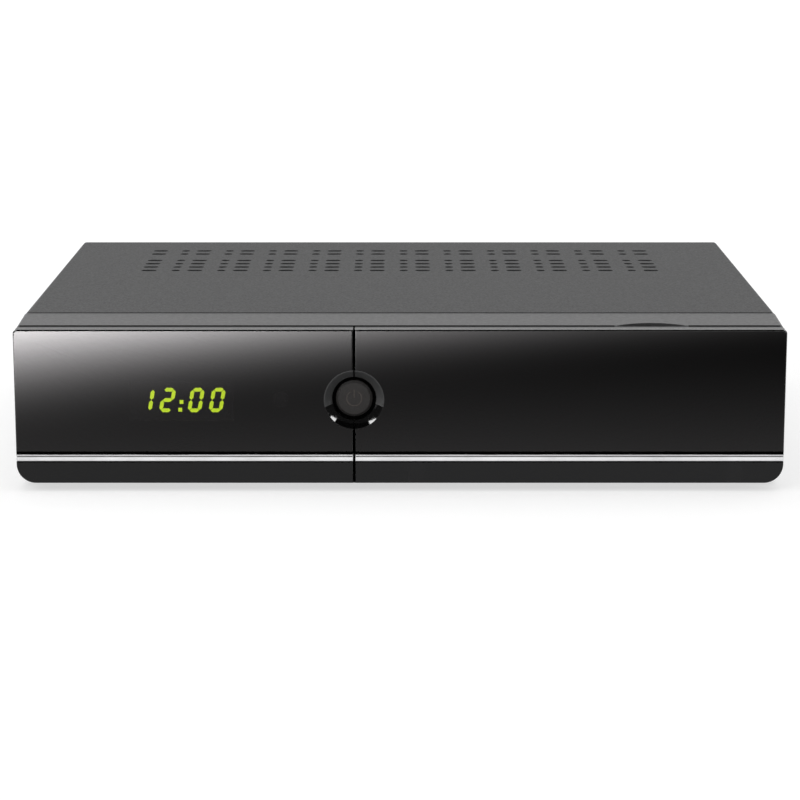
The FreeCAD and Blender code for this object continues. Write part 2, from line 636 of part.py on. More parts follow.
# The feet: soft rubber discs pressed on the tray.
foot = turned_body("foot_stock", [("0", "0"), ("foot - 0.8", "0"), ("foot", "0.8"), ("foot", "tray_low"),
                                  ("0", "tray_low")], ("0", "0", "0"))
copies("feet", foot, [(f"{sx} * foot_x", f"{sy} * foot_y", "0") for sx in (-1, 1) for sy in (-1, 1)])

# The power button: a hollow cap with a flange behind the wall and a stem that meets its switch.
button_cap = turned_body("button_blank", [
    ("0", "0"), ("button - 0.9", "0"), ("button", "0.7"), ("button", "bay_face + bay_wall - button_face"),
    ("button + 1.1", "bay_face + bay_wall - button_face"),
    ("button + 1.1", "bay_face + bay_wall - button_face + 1"),
    ("button - 1.1", "bay_face + bay_wall - button_face + 1"), ("button - 1.1", "1.6"), ("1.5", "1.6"),
    ("1.5", "7.1"), ("0", "7.1"),
], ("seam_x", "button_face", "button_z"), "y")


def power_mark():
    """The sunk mark of a power button: an open ring with a bar."""
    ring_radius = 3.0
    line = 0.55
    mark = Part.makeCylinder(ring_radius, 1).cut(Part.makeCylinder(ring_radius - line, 1))
    mark = mark.cut(Part.makeBox(2.2, 4, 1, Vector(-1.1, 0.8, 0)))
    mark = mark.fuse(Part.makeBox(line, 3.3, 1, Vector(-line / 2, 0.1, 0)))
    mark.rotate(Vector(), Vector(1, 0, 0), 90)
    mark.translate(Vector(size("seam_x"), size("button_face") + 0.25, size("button_z")))
    return mark


finished(carved("button_body", button_cap, shaped("power_mark", power_mark())), "power_button")


def tact_switch(name, x, z, back):
    """A square push switch that stands on the front of an upright board."""
    base = block(name + "_base", (f"{x} - 3", f"{x} + 3"), (f"({back}) - 3.5", back),
                 (f"{z} - 3", f"{z} + 3"))
    knob = rod(name + "_knob", "1.75", "0.8", (x, f"({back}) - 4.2", z))
    return joined(name, base, knob)


FRONT_BOARD = "-95"
KEY_BOARD = "-91"
key_places = [f"(key_first + {i} * key_step)" for i in range(4)]
switches = [tact_switch("power_tact", "seam_x", "button_z", FRONT_BOARD)]
switches += [tact_switch(f"key_tact_{i}", x, "key_z", KEY_BOARD) for i, x in enumerate(key_places)]
finished(group("switch_group", *switches), "push_switches")

# Keys behind the door: menu, confirm, channel down and channel up.
for label, x in zip(("key_menu", "key_confirm", "key_down", "key_up"), key_places):
    cap = block(label + "_cap", (f"{x} - 4.5", f"{x} + 4.5"), ("bay_face - 2.2", "bay_face + bay_wall"),
                ("key_z - 3", "key_z + 3"))
    flange = block(label + "_flange", (f"{x} - 5.5", f"{x} + 5.5"),
                   ("bay_face + bay_wall", "bay_face + bay_wall + 0.8"), ("key_z - 4", "key_z + 4"))
    stem = rod(label + "_stem", "1.2", "1.1", (x, "bay_face + bay_wall", "key_z"))
    finished(joined(label + "_body", cap, flange, stem), label)

# Upright boards and what stands on them.
finished(block("front_board_body", ("display_x - 40", "seam_x + 12"), (FRONT_BOARD, f"{FRONT_BOARD} + board"),
               ("22", "46")), "front_board")
finished(block("key_board_body", ("key_first - 10", "key_first + 3 * key_step + 10"),
               (KEY_BOARD, f"{KEY_BOARD} + board"), ("31", "49")), "key_board")
module = block("module_case", ("display_x - 16.2", "display_x + 16.2"), ("display_face", "-97.9"),
               ("display_z - 6.4", "display_z + 6.4"))
module_legs = [rod(f"module_leg_{i}{j}", "0.3", "3", (f"display_x - 12.7 + {i} * 5.08", "-98", z))
               for i in range(6) for j, z in enumerate(("display_z - 5", "display_z + 5"))]
finished(joined("module_body", module, *module_legs), "display_module")
sensor_case = block("sensor_case", ("display_x + 36 - 2.6", "display_x + 36 + 2.6"), ("-101", FRONT_BOARD),
                    ("button_z - 3", "button_z + 3"))
sensor_dome = doc.addObject("Part::Sphere", "sensor_dome")
bind(sensor_dome, Radius=2.2)
place(sensor_dome, ("display_x + 36", "-101", "button_z"))
finished(joined("sensor_body", sensor_case, sensor_dome), "infrared_receiver")


# The seven bars of each digit. A bar has pointed ends, and the outer ones are mitred where they meet.

BARS = {
    "a": ((0, 2), (1, 2)), "b": ((1, 2), (1, 1)), "c": ((1, 1), (1, 0)), "d": ((0, 0), (1, 0)),
    "e": ((0, 1), (0, 0)), "f": ((0, 2), (0, 1)), "g": ((0, 1), (1, 1)),
}
LIT = {"0": "abcdef", "1": "bc", "2": "abdeg"}
SHOWN = "12:00"
SEGMENT_DEEP = 0.3
COLON_LEVELS = (-0.4, -0.08)
BAR_GAP = 0.12


def bar_shape(start, end, centre_x):
    """One bar between two corners of the digit, leaned with the digit."""
    line = size("digit_line")
    half_wide = (size("digit_wide") - line) / 2
    half_tall = (size("digit_tall") - line) / 2
    lean = math.tan(math.radians(size("digit_lean")))
    a = Vector((start[0] * 2 - 1) * half_wide, 0, (start[1] - 1) * half_tall)
    b = Vector((end[0] * 2 - 1) * half_wide, 0, (end[1] - 1) * half_tall)
    along = (b - a).normalize()
    across = Vector(-along.z, 0, along.x) * (line / 2)
    a = a + along * BAR_GAP
    b = b - along * BAR_GAP
    inset = along * (line / 2)
    points = [a, a + inset + across, b - inset + across, b, b - inset - across, a + inset - across]
    leaned = [Vector(p.x + p.z * lean + centre_x, 0, p.z) for p in points]
    face = Part.Face(Part.makePolygon(leaned + leaned[:1]))
    solid = face.extrude(Vector(0, -SEGMENT_DEEP, 0))
    solid.translate(Vector(size("display_x"), size("display_face"), size("display_z")))
    return solid


def segment_shapes(wanted):
    step = size("digit_step")
    across = size("colon_step")
    centres = (-across / 2 - step, -across / 2, across / 2, across / 2 + step)
    shapes = []
    for digit, centre_x in zip(SHOWN.replace(":", ""), centres):
        for bar, (start, end) in BARS.items():
            if (bar in LIT[digit]) == wanted:
                shapes.append(bar_shape(start, end, centre_x))
    if wanted:
        line = size("digit_line")
        for level in COLON_LEVELS:
            dot = Part.makeBox(line, SEGMENT_DEEP, line, Vector(-line / 2, -SEGMENT_DEEP, -line / 2))
            lean = math.tan(math.radians(size("digit_lean"))) * level * size("digit_tall")
            dot.translate(Vector(size("display_x") + lean, size("display_face"),
                                 size("display_z") + level * size("digit_tall")))
            shapes.append(dot)
    return Part.makeCompound(shapes)


finished(shaped("lit_bars", segment_shapes(True)), "lit_segments")
finished(shaped("dark_bars", segment_shapes(False)), "unlit_segments")

# The main board with its card reader, front socket, processor, tuner and rear sockets.
MAIN_X = ("-8", "134")
MAIN_Y = ("-88", "94")
POWER_X = ("-134", "-62")
POWER_Y = ("-30", "90")
BOARD_TOP = "board_low + board"
MAIN_POSTS = [("-3", "-78"), ("-3", "6"), ("-3", "66"), ("129", "-78"), ("129", "6"), ("129", "50")]
POWER_POSTS = [(x, y) for x in ("-129", "-67") for y in ("-25", "72")]
flat = ("board_low", BOARD_TOP)


def drilled_board(name, x, y, posts, *wings):
    sheet_block = block(name + "_blank", x, y, flat)
    if wings:
        sheet_block = joined(name + "_sheet", sheet_block, *wings)
    holes = [rod(f"{name}_hole_{i}", "1.6", "4", (px, py, "board_low - 1"), "z")
             for i, (px, py) in enumerate(posts)]
    return finished(carved(name + "_body", sheet_block, *holes), name)


rear_wing = block("rear_wing", ("-60", "-7"), ("62", "94"), flat)
drilled_board("main_board", MAIN_X, MAIN_Y, MAIN_POSTS, rear_wing)
drilled_board("power_board", POWER_X, POWER_Y, POWER_POSTS)
post = turned_body("post_stock", [("1.3", "0"), ("3", "0"), ("3", "board_low - tray_low - sheet_wall"),
                                  ("1.3", "board_low - tray_low - sheet_wall")], ("0", "0", "0"))
ALL_POSTS = MAIN_POSTS + POWER_POSTS
copies("standoffs", post, [(x, y, "tray_low + sheet_wall") for x, y in ALL_POSTS])
finished(group("board_screw_group", *placed_screws("board_screw", board_screw, [
    (x, y, BOARD_TOP) for x, y in ALL_POSTS])), "board_screws")
insulation = block("insulation_blank", ("-136", "-60"), ("-34", "89"),
                   ("tray_low + sheet_wall", "tray_low + sheet_wall + 0.4"))
insulation_holes = [rod(f"insulation_hole_{i}", "3.2", "3", (x, y, "tray_low"), "z")
                    for i, (x, y) in enumerate(POWER_POSTS)]
finished(carved("insulation_body", insulation, *insulation_holes), "insulation_sheet")


def on_board(name, x, y, tall):
    """A block that stands on a flat board, from its middle and its size."""
    return block(name, (f"{x[0]} - {x[1]} / 2", f"{x[0]} + {x[1]} / 2"),
                 (f"{y[0]} - {y[1]} / 2", f"{y[0]} + {y[1]} / 2"), (BOARD_TOP, f"{BOARD_TOP} + {tall}"))


reader_case = on_board("reader_case", (55, 58), (-65.4, 62), 6)
reader_slot = block("reader_slot", (28, 82), (-100, -42),
                    ("board_low + board + 2.6", "board_low + board + 3.8"))
finished(carved("reader_body", reader_case, reader_slot), "card_reader")

usb_case = block("usb_case", ("97.4", "110.6"), ("bay_face + 0.3", "-84"), (f"{BOARD_TOP} + 0.8",
                                                                       f"{BOARD_TOP} + 7"))
usb_hollow = block("usb_hollow", ("97.8", "110.2"), ("front_y", "-86"), (f"{BOARD_TOP} + 1.2",
                                                                    f"{BOARD_TOP} + 6.6"))
usb_foot = block("usb_foot", ("97.4", "110.6"), ("-88", "-84"), (BOARD_TOP, f"{BOARD_TOP} + 1"))
usb_tongue = block("usb_tongue_block", ("98.6", "109.4"), ("bay_face + 1.5", "-85.9"), (f"{BOARD_TOP} + 4.4",
                                                                                  f"{BOARD_TOP} + 6.2"))
finished(joined("usb_body", carved("usb_shell", usb_case, usb_hollow), usb_foot, usb_tongue), "usb_socket")

chips = [on_board("processor", (56, 31), (10, 31), 2.2), on_board("memory_a", (92, 12), (0, 18), 1.2),
         on_board("memory_b", (92, 12), (24, 18), 1.2), on_board("flash_chip", (22, 18), (12, 12), 1.4),
         on_board("network_chip", (24, 10), (50, 10), 1.2),
         block("transistor", ("-101.9", "-97.5"), ("2", "11.5"), (f"{BOARD_TOP} + 5", f"{BOARD_TOP} + 21"))]
finished(group("chip_group", *chips), "board_chips")
sink_base = block("sink_base", (40, 72), (-6, 26), (f"{BOARD_TOP} + 2.2", f"{BOARD_TOP} + 4.7"))
FINS = 9
fins = [block(f"fin_{i}", (f"40 + {i} * 3.85", f"41.2 + {i} * 3.85"), (-6, 26),
              (f"{BOARD_TOP} + 4.2", f"{BOARD_TOP} + 14"))
        for i in range(FINS)]
finished(joined("sink_body", sink_base, *fins), "processor_heat_sink")


def can_capacitor(name, x, y, radius, tall):
    """A round capacitor that stands on a board, with a rolled groove near its foot."""
    return turned_body(name, [("0", "0"), (str(radius), "0"), (str(radius), "1"), (str(radius - 0.4), "1.6"),
                              (str(radius), "2.2"), (str(radius), str(tall)), ("0", str(tall))],
                       (str(x), str(y), BOARD_TOP))


main_cans = [can_capacitor(f"main_can_{i}", x, y, 3.2, 11)
             for i, (x, y) in enumerate(((4, 40), (4, 52), (12, 66), (82, 44), (100, 52), (118, 30)))]
finished(group("header_group", on_board("header_power", (0, 6), (-20, 26), 8),
               on_board("header_front", (15, 20), (-80, 6), 7),
               on_board("header_supply", (-66.5, 7), (30, 26), 8)),
         "lead_headers")

# The tuner: a tinned can with two threaded aerial sockets.
tuner = block("tuner_block", ("98", "133.5"), ("58", "panel_back - sheet_wall"),
              (BOARD_TOP, f"{BOARD_TOP} + 17"))
tuner_hollow = block("tuner_hollow", ("98.6", "132.9"), ("58.6", "panel_back - sheet_wall - 1"),
                     (f"{BOARD_TOP} + 1", f"{BOARD_TOP} + 16.4"))
finished(carved("tuner_body", tuner, tuner_hollow), "tuner_can")
aerial_bore = 1.1
finished(group("aerial_group", *[
    turned_body(f"aerial_socket_{i}", [
        (str(aerial_bore), "0.1"), ("5", "0.1"), ("5", "2.3"), ("4.7", "2.6"), ("4.7", "11.4"),
        ("4.2", "11.9"),
        (str(aerial_bore), "11.9")], (x, "panel_back - sheet_wall - 0.1", "socket_z"), "y")
    for i, x in enumerate(TUNER_X)]), "aerial_sockets")

# HDMI-size, scart-size, optical and nine-pin sockets.
panel_in = "panel_back + 0.6"
hdmi_z = f"{BOARD_TOP} + 3.2"
hdmi_case = block("hdmi_case", (f"{HDMI_X} - 7.5", f"{HDMI_X} + 7.5"), ("panel_back - 12", panel_in),
                  (BOARD_TOP, f"{BOARD_TOP} + 6"))
hdmi_hollow = block("hdmi_hollow", (f"{HDMI_X} - 7", f"{HDMI_X} + 7"), ("panel_back - 9", "panel_back + 5"),
                    (f"{BOARD_TOP} + 0.9", f"{BOARD_TOP} + 5.5"))
hdmi_tongue = block("hdmi_tongue", (f"{HDMI_X} - 6", f"{HDMI_X} + 6"), ("panel_back - 9.2", "panel_back - 1"),
                    (f"{BOARD_TOP} + 2.6", f"{BOARD_TOP} + 3.8"))
finished(joined("hdmi_body", carved("hdmi_shell", hdmi_case, hdmi_hollow), hdmi_tongue), "hdmi_socket")

behind_panel = "panel_back - sheet_wall - 0.2"
scart_nose = block("scart_nose", (f"{SCART_X} - 25", f"{SCART_X} + 25"), ("panel_back - 2", panel_in),
                   ("socket_z - 7.5", "socket_z + 7.5"))
scart_back = block("scart_back", (f"{SCART_X} - 25", f"{SCART_X} + 25"), ("panel_back - 18", behind_panel),
                   (BOARD_TOP, "socket_z + 7.5"))
scart_case = joined("scart_case", scart_nose, scart_back)
scart_recess = block("scart_recess", (f"{SCART_X} - 23", f"{SCART_X} + 23"),
                     ("panel_back - 1.4", "panel_back + 5"),
                     ("socket_z - 5.6", "socket_z + 5.6"))
contact_slots = []
for contact in range(10):
    for row_z in ("socket_z - 2.5", "socket_z + 2.5"):
        low = f"{SCART_X} - 18.4 + {contact} * 3.9"
        contact_slots.append(block(f"contact_{len(contact_slots)}", (low, f"{low} + 0.9"),
                                   ("panel_back - 8", "panel_back + 5"),
                                   (f"{row_z} - 1.5", f"{row_z} + 1.5")))
finished(carved("scart_body", scart_case, scart_recess, *contact_slots), "scart_socket")

optical_nose = block("optical_nose", (f"{OPTICAL_X} - 5", f"{OPTICAL_X} + 5"), ("panel_back - 2", panel_in),
                     ("socket_z - 5", "socket_z + 5"))
optical_back = block("optical_back", (f"{OPTICAL_X} - 5", f"{OPTICAL_X} + 5"),
                     ("panel_back - 12", behind_panel),
                     (BOARD_TOP, "socket_z + 5"))
optical_case = joined("optical_case", optical_nose, optical_back)
optical_recess = block("optical_recess", (f"{OPTICAL_X} - 3", f"{OPTICAL_X} + 3"),
                       ("panel_back - 1", "panel_back + 5"),
                       ("socket_z - 3", "socket_z + 3"))
finished(carved("optical_body", optical_case, optical_recess), "optical_socket")

service_plate = block("service_plate", (f"{SERVICE_X} - 15.4", f"{SERVICE_X} + 15.4"),
                      ("panel_back - sheet_wall - 1", "panel_back - sheet_wall"),
                      ("socket_z - 6.2", "socket_z + 6.2"))
service_nose = block("service_nose", (f"{SERVICE_X} - 8.2", f"{SERVICE_X} + 8.2"),
                     ("panel_back - sheet_wall - 0.5", "panel_back + 5"), ("socket_z - 4", "socket_z + 4"))
service_holes = [rod(f"service_hole_{i}", "0.7", "12",
                     (f"{SERVICE_X} + {x}", "panel_back - 3", f"socket_z + {z}"))
                 for i, (x, z) in enumerate([(-5.5 + 2.75 * k, 1.4) for k in range(5)]
                                            + [(-4.1 + 2.75 * k, -1.4) for k in range(4)])]
service_back = block("service_back", (f"{SERVICE_X} - 12", f"{SERVICE_X} + 12"),
                     ("panel_back - 13", "panel_back - sheet_wall - 0.5"), ("socket_z - 5", "socket_z + 5"))
service_solid = joined("service_solid", service_plate, service_nose, service_back)
finished(carved("service_body", service_solid, *service_holes), "service_socket")
# Three phono sockets: metal sleeves in coloured collars on one housing.
rca_case = block("rca_case", ("24", "66"), ("panel_back - 14", "panel_back - sheet_wall - 0.2"),
                 (BOARD_TOP, "socket_z + 6.5"))
finished(rca_case, "phono_housing")
for label, x in zip(("phono_collar_yellow", "phono_collar_white", "phono_collar_red"), RCA_X):
    finished(turned_body(label + "_body", [("4.2", "0"), ("5.1", "0"), ("5.1", "2.6"), ("4.2", "2.6")],
                         (x, "panel_back - sheet_wall - 0.2", "socket_z"), "y"), label)
finished(group("phono_group", *[
    turned_body(f"phono_sleeve_{i}", [("1.7", "0"), ("4.1", "0"), ("4.1", "9.4"), ("3.4", "9.4"),
                                      ("3.4", "3"),
                                      ("1.7", "3")], (x, "panel_back - sheet_wall - 0.2", "socket_z"), "y")
    for i, x in enumerate(RCA_X)]), "phono_sleeves")

# The mains inlet, a figure of eight, and the rocker switch.
inlet_flange = block("inlet_flange", (f"{INLET_X} - 13", f"{INLET_X} + 13"),
                     ("panel_back", "panel_back + 1.6"),
                     ("24 - 8", "24 + 8"))
inlet_case = block("inlet_case", (f"{INLET_X} - 10.9", f"{INLET_X} + 10.9"),
                   ("panel_back - 15", "panel_back + 1"),
                   ("24 - 5.9", "24 + 5.9"))
inlet_hollows = [rod(f"inlet_hollow_{i}", "3.9", "20", (f"{INLET_X} + {x}", "panel_back - 10", "24"))
                 for i, x in enumerate((-3.6, 3.6))]
inlet_middle = block("inlet_middle", (f"{INLET_X} - 3.6", f"{INLET_X} + 3.6"),
                     ("panel_back - 10", "panel_back + 9"),
                     ("24 - 3.2", "24 + 3.2"))
inlet_solid = joined("inlet_solid", inlet_flange, inlet_case)
finished(carved("inlet_body", inlet_solid, inlet_middle, *inlet_hollows), "mains_inlet")
finished(group("inlet_pin_group", *[rod(f"inlet_pin_{i}", "1.2", "9",
                                        (f"{INLET_X} + {x}", "panel_back - 10", "24"))
                                    for i, x in enumerate((-4.3, 4.3))]), "inlet_pins")
frame_block = block("rocker_frame_block", (f"{ROCKER_X} - 10.5", f"{ROCKER_X} + 10.5"),
                    ("panel_back", "panel_back + 1.6"), ("24 - 7.5", "24 + 7.5"))
frame_case = block("rocker_frame_case", (f"{ROCKER_X} - 9.4", f"{ROCKER_X} + 9.4"),
                   ("panel_back - 14", "panel_back + 1"), ("24 - 6.4", "24 + 6.4"))
frame_hollow = block("rocker_frame_hollow", (f"{ROCKER_X} - 8.2", f"{ROCKER_X} + 8.2"),
                     ("panel_back - 8", "panel_back + 4"), ("24 - 5", "24 + 5"))
finished(carved("rocker_frame_body", joined("rocker_frame_solid", frame_block, frame_case), frame_hollow),
         "rocker_frame")


ROCKER_TILT = 9


def rocker_shape():
    """The rocker: a shallow vee that turns about an upright axis, resting pressed in on one side."""
    reach = 7.6
    half = 4.7
    rise = math.tan(math.radians(ROCKER_TILT)) * reach
    back = size("panel_back")
    pivot = Vector(float(ROCKER_X), back - 0.2, 0)
    points = [Vector(-reach, 0.4 + rise, 0), Vector(0, 0.4, 0), Vector(reach, 0.4 + rise, 0),
              Vector(reach - 1.2, -2.4, 0), Vector(0, -4.4, 0), Vector(-reach + 1.2, -2.4, 0)]
    face = Part.Face(Part.makePolygon(points + points[:1]))
    solid = face.extrude(Vector(0, 0, 2 * half))
    solid.translate(Vector(float(ROCKER_X), back + 1.4, 24 - half))
    solid.rotate(pivot, Vector(0, 0, 1), -ROCKER_TILT)
    return solid


finished(shaped("rocker_body", rocker_shape()), "rocker")

# The power board: filter, fuse, bulk capacitor, transformer, heat sink and output capacitors.
bulk_can = can_capacitor("bulk_can", -118, 24, 9, 30)
output_cans = [can_capacitor(f"output_can_{i}", x, y, 4.5, 18)
               for i, (x, y) in enumerate(((-72, 2), (-72, -12), (-84, -20), (-96, -22)))]
finished(group("can_group", bulk_can, *output_cans, *main_cans), "capacitors")
coil_former = block("coil_former", ("-94", "-76"), ("20", "42"), (BOARD_TOP, f"{BOARD_TOP} + 21"))
core_parts = [block(f"core_part_{i}", x, (14, 48), (f"{BOARD_TOP} + 5", f"{BOARD_TOP} + 15"))
              for i, x in enumerate(((-99, -93.9), (-76.1, -71)))]
core_ends = [block(f"core_end_{i}", (-99, -71), y, (f"{BOARD_TOP} + 5", f"{BOARD_TOP} + 15"))
             for i, y in enumerate(((12, 19.9), (42.1, 50)))]
finished(group("transformer_group", coil_former, joined("core_body", *core_parts, *core_ends)), "transformer")
finished(block("plate_sink_body", ("-106", "-102"), ("0", "46"), (BOARD_TOP, f"{BOARD_TOP} + 26")),
         "power_heat_sink")
choke_core = block("choke_blank", ("-128", "-110"), ("48", "64"), (BOARD_TOP, f"{BOARD_TOP} + 18"))
choke_hole = rod("choke_hole", "3.2", "30", ("-134", "56", f"{BOARD_TOP} + 9"), "x")
finished(carved("choke_body", choke_core, choke_hole), "line_choke")
fuse_z = f"{BOARD_TOP} + 5"
finished(group("fuse_group", rod("fuse_glass", "2.4", "14", ("-98", "62", fuse_z), "x"),
               rod("fuse_cap_a", "2.6", "3", ("-101", "62", fuse_z), "x"),
               rod("fuse_cap_b", "2.6", "3", ("-84", "62", fuse_z), "x"),
               block("fuse_clip_a", ("-101", "-98.2"), ("60.6", "63.4"), (BOARD_TOP, f"{BOARD_TOP} + 2.4")),
               block("fuse_clip_b", ("-83.8", "-81"), ("60.6", "63.4"), (BOARD_TOP, f"{BOARD_TOP} + 2.4"))),
               "fuse")


# Leads inside the case: straight runs joined by arcs.


def lead(points, radius):
    """A round lead through the points, its corners rounded by tangent arcs."""
    edges = []
    start = points[0]
    for i in range(1, len(points) - 1):
        before = points[i - 1] - points[i]
        after = points[i + 1] - points[i]
        turn = math.pi - before.getAngle(after)
        bend = 0.45 * min(before.Length, after.Length) / math.tan(turn / 2)
        cut = bend * math.tan(turn / 2)
        first = points[i] + before.normalize() * cut
        last = points[i] + after.normalize() * cut
        middle_way = (before + after).normalize()
        middle = points[i] + middle_way * (bend / math.cos(turn / 2) - bend)
        edges.append(Part.LineSegment(start, first).toShape())
        edges.append(Part.Arc(first, middle, last).toShape())
        start = last
    edges.append(Part.LineSegment(start, points[-1]).toShape())
    path = Part.Wire(edges)
    along = (points[1] - points[0]).normalize()
    section = Part.Wire(Part.makeCircle(radius, points[0], along))
    return path.makePipeShell([section], True, False)


board_top = size("board_low") + size("board")
supply_leads = [lead([Vector(-66, 20 + 3 * i, board_top + 8), Vector(-66, 20 + 3 * i, board_top + 18),
                      Vector(-34, 4 + i, board_top + 22), Vector(0, -30 + 3 * i, board_top + 18),
                      Vector(0, -30 + 3 * i, board_top + 8)], 0.8) for i in range(7)]
back = size("panel_back")
mains_leads = [lead([Vector(x0, start, z), Vector(x0, 74, z), Vector(x1, 69, z - 5),
                     Vector(x1, 69, board_top)], 1.1)
               for x0, x1, z, start in ((-121, -119, 22, back - 15), (-112, -111, 26, back - 15),
                                        (-89, -94, 22, back - 14), (-79, -86, 26, back - 14))]
finished(shaped("power_lead_body", Part.makeCompound(supply_leads + mains_leads)), "power_leads")
ribbon = lead([Vector(10, -80, board_top + 7), Vector(10, -80, board_top + 14),
               Vector(-8, -88, board_top + 20),
               Vector(-8, -93.3, board_top + 20)], 0.5)
ribbon_wires = []
for wire in range(10):
    one = ribbon.copy()
    one.translate(Vector(1.02 * wire - 5, 0, 0))
    ribbon_wires.append(one)
finished(shaped("ribbon_body", Part.makeCompound(ribbon_wires)), "front_leads")

# Everything is checked before anything is written.
doc.recompute()
for item in doc.Objects:
    if {"Invalid", "Error"} & set(item.State):
        raise RuntimeError(f"{item.Name} failed: {item.State}")
for part in SUB_PARTS:
    if part.Shape.isNull() or not part.Shape.isValid():
        raise RuntimeError(f"{part.Label} has no valid shape")
for part in SUB_PARTS:
    part.Shape.exportStep(f"parts/{part.Label}.step")
print(len(SUB_PARTS), "sub-parts")
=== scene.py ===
# %% [markdown]
# # A satellite television receiver, dressed for its picture
# The receiver is a flat steel case with a glossy smoked front. Its solids come
# from the CAD model, already in place and in metres. This lesson leaves every
# solid where it is and gives each one a finish. Then it adds the small parts
# that are too fine for the solids, and sets up a plain studio around it all.
#
# The first step loads the model. `frame["nodes"]` holds one object for each
# solid, and `frame["record"]` the record of the model.

# %% Load the receiver
import json
import math
import random
import bmesh
import bpy
from mathutils import Matrix, Vector


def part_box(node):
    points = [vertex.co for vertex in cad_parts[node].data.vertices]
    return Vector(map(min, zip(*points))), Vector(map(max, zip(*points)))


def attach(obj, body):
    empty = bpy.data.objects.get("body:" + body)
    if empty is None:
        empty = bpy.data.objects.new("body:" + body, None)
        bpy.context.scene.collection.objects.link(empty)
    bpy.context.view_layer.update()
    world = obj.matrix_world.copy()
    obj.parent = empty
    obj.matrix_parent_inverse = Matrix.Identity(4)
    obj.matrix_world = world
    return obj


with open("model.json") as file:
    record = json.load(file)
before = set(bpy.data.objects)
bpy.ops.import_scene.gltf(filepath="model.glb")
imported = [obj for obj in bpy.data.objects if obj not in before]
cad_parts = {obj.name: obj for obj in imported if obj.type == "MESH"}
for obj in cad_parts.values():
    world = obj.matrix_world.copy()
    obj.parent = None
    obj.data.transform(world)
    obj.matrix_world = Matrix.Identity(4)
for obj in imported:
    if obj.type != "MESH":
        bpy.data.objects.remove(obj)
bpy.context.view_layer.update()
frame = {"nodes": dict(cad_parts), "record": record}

solids = frame["nodes"]

# %% [markdown]
# ## The camera
# The picture was taken from straight ahead and a little above, so the front
# looks like a rectangle and the top like a low trapezium. The top narrows from
# 775 to 628 pixels over its depth, and that gives the distance: about a metre.
# A long lens keeps the sides nearly parallel. The camera could be aimed with a
# Track To constraint, but one angle says the same thing and can't drift.

# %% Camera
camera_data = bpy.data.cameras.new("studio_camera")
camera_data.lens = 117.18
camera_data.sensor_width = 36.0
camera_data.clip_start = 0.05
camera_data.clip_end = 50.0
camera = bpy.data.objects.new("studio_camera", camera_data)
camera.location = (0.0, -1.03585, 0.22565)
degrees_from_straight_down = 78.31
camera.rotation_euler = (math.radians(degrees_from_straight_down), 0.0, 0.0)
bpy.context.scene.collection.objects.link(camera)
bpy.context.scene.camera = camera
bpy.context.scene.view_settings.view_transform = "Standard"
print("camera", tuple(camera.location), "lens", camera_data.lens)

# %% [markdown]
# ## Small helpers for node trees
# A finish here is a Principled shader with a few textures plugged in. Writing
# each node by hand is long, so `node` adds one and sets its sockets. `calc`
# adds one step of arithmetic, and `spread` stretches one range onto another.
# `spots` gives a noise whose grains have a size in millimetres. The solids are
# in metres and their objects sit at the origin, so Object coordinates are real
# lengths, and the grain keeps its size on a large panel and on a small key.

# %% Node helpers
def node(tree, kind, **sockets):
    made = tree.nodes.new("ShaderNode" + kind)
    for socket, value in sockets.items():
        made.inputs[socket.replace("_", " ")].default_value = value
    return made


def calc(tree, operation, *values):
    made = node(tree, "Math")
    made.operation = operation
    for socket, value in zip(made.inputs, values):
        if isinstance(value, float):
            socket.default_value = value
        else:
            tree.links.new(value, socket)
    return made.outputs[0]


def spread(tree, value, start, end, low=0.0, high=1.0, clamp=True):
    made = node(tree, "MapRange", From_Min=start, From_Max=end, To_Min=low, To_Max=high)
    made.clamp = clamp
    tree.links.new(value, made.inputs["Value"])
    return made.outputs["Result"]


def place_in(tree, **mapping):
    place = node(tree, "TexCoord")
    mapped = node(tree, "Mapping", **mapping)
    tree.links.new(place.outputs["Object"], mapped.inputs["Vector"])
    return mapped.outputs["Vector"]


def axes(tree, vector):
    made = node(tree, "SeparateXYZ")
    tree.links.new(vector, made.inputs[0])
    return made.outputs


def length(tree, vector):
    made = node(tree, "VectorMath")
    made.operation = "LENGTH"
    tree.links.new(vector, made.inputs[0])
    return made.outputs["Value"]


print("helpers: node, calc, spread, place_in, axes, length")

# %% [markdown]
# ## Noise and colour ramps
# Two more helpers are used in nearly every finish: `spots` is the noise itself,
# and `ramp` turns a value from 0 to 1 into a colour. The noise could be mixed
# between two colours with a Mix node, but a ramp takes any number of stops.

# %% Noise helpers
def spots(tree, size_mm, detail=2.0, stretch=(1.0, 1.0, 1.0)):
    noise = node(tree, "TexNoise", Scale=1000.0 / size_mm, Detail=detail)
    tree.links.new(place_in(tree, Scale=stretch), noise.inputs["Vector"])
    return noise.outputs["Fac"]


def ramp(tree, value, *stops):
    made = node(tree, "ValToRGB")
    points = made.color_ramp.elements
    while len(points) < len(stops):
        points.new(0.5)
    for point, (at, colour) in zip(points, stops):
        point.position = at
        point.color = (*colour, 1.0)
    tree.links.new(value, made.inputs["Fac"])
    return made.outputs["Color"]


print("helpers: spots, ramp")

# %% [markdown]
# ## Three ways to roughen a surface
# Real surfaces vary in three ways: the colour is a little uneven, the polish
# is a little uneven, and the surface itself has a fine grain. `tinted`, `worn`
# and `grained` add one of each to a shader. An image texture could do all
# three, but noise has no seams and no resolution to run out of. The noise
# seldom leaves the range from 0.35 to 0.65, so that range is spread out.

# %% Colour, polish and grain
def shader_of(material):
    return material.node_tree.nodes["Principled BSDF"]


def tinted(material, dark, light, size_mm, detail=2.0, stretch=(1.0, 1.0, 1.0)):
    tree = material.node_tree
    colour = ramp(tree, spots(tree, size_mm, detail, stretch), (0.36, dark), (0.64, light))
    tree.links.new(colour, shader_of(material).inputs["Base Color"])


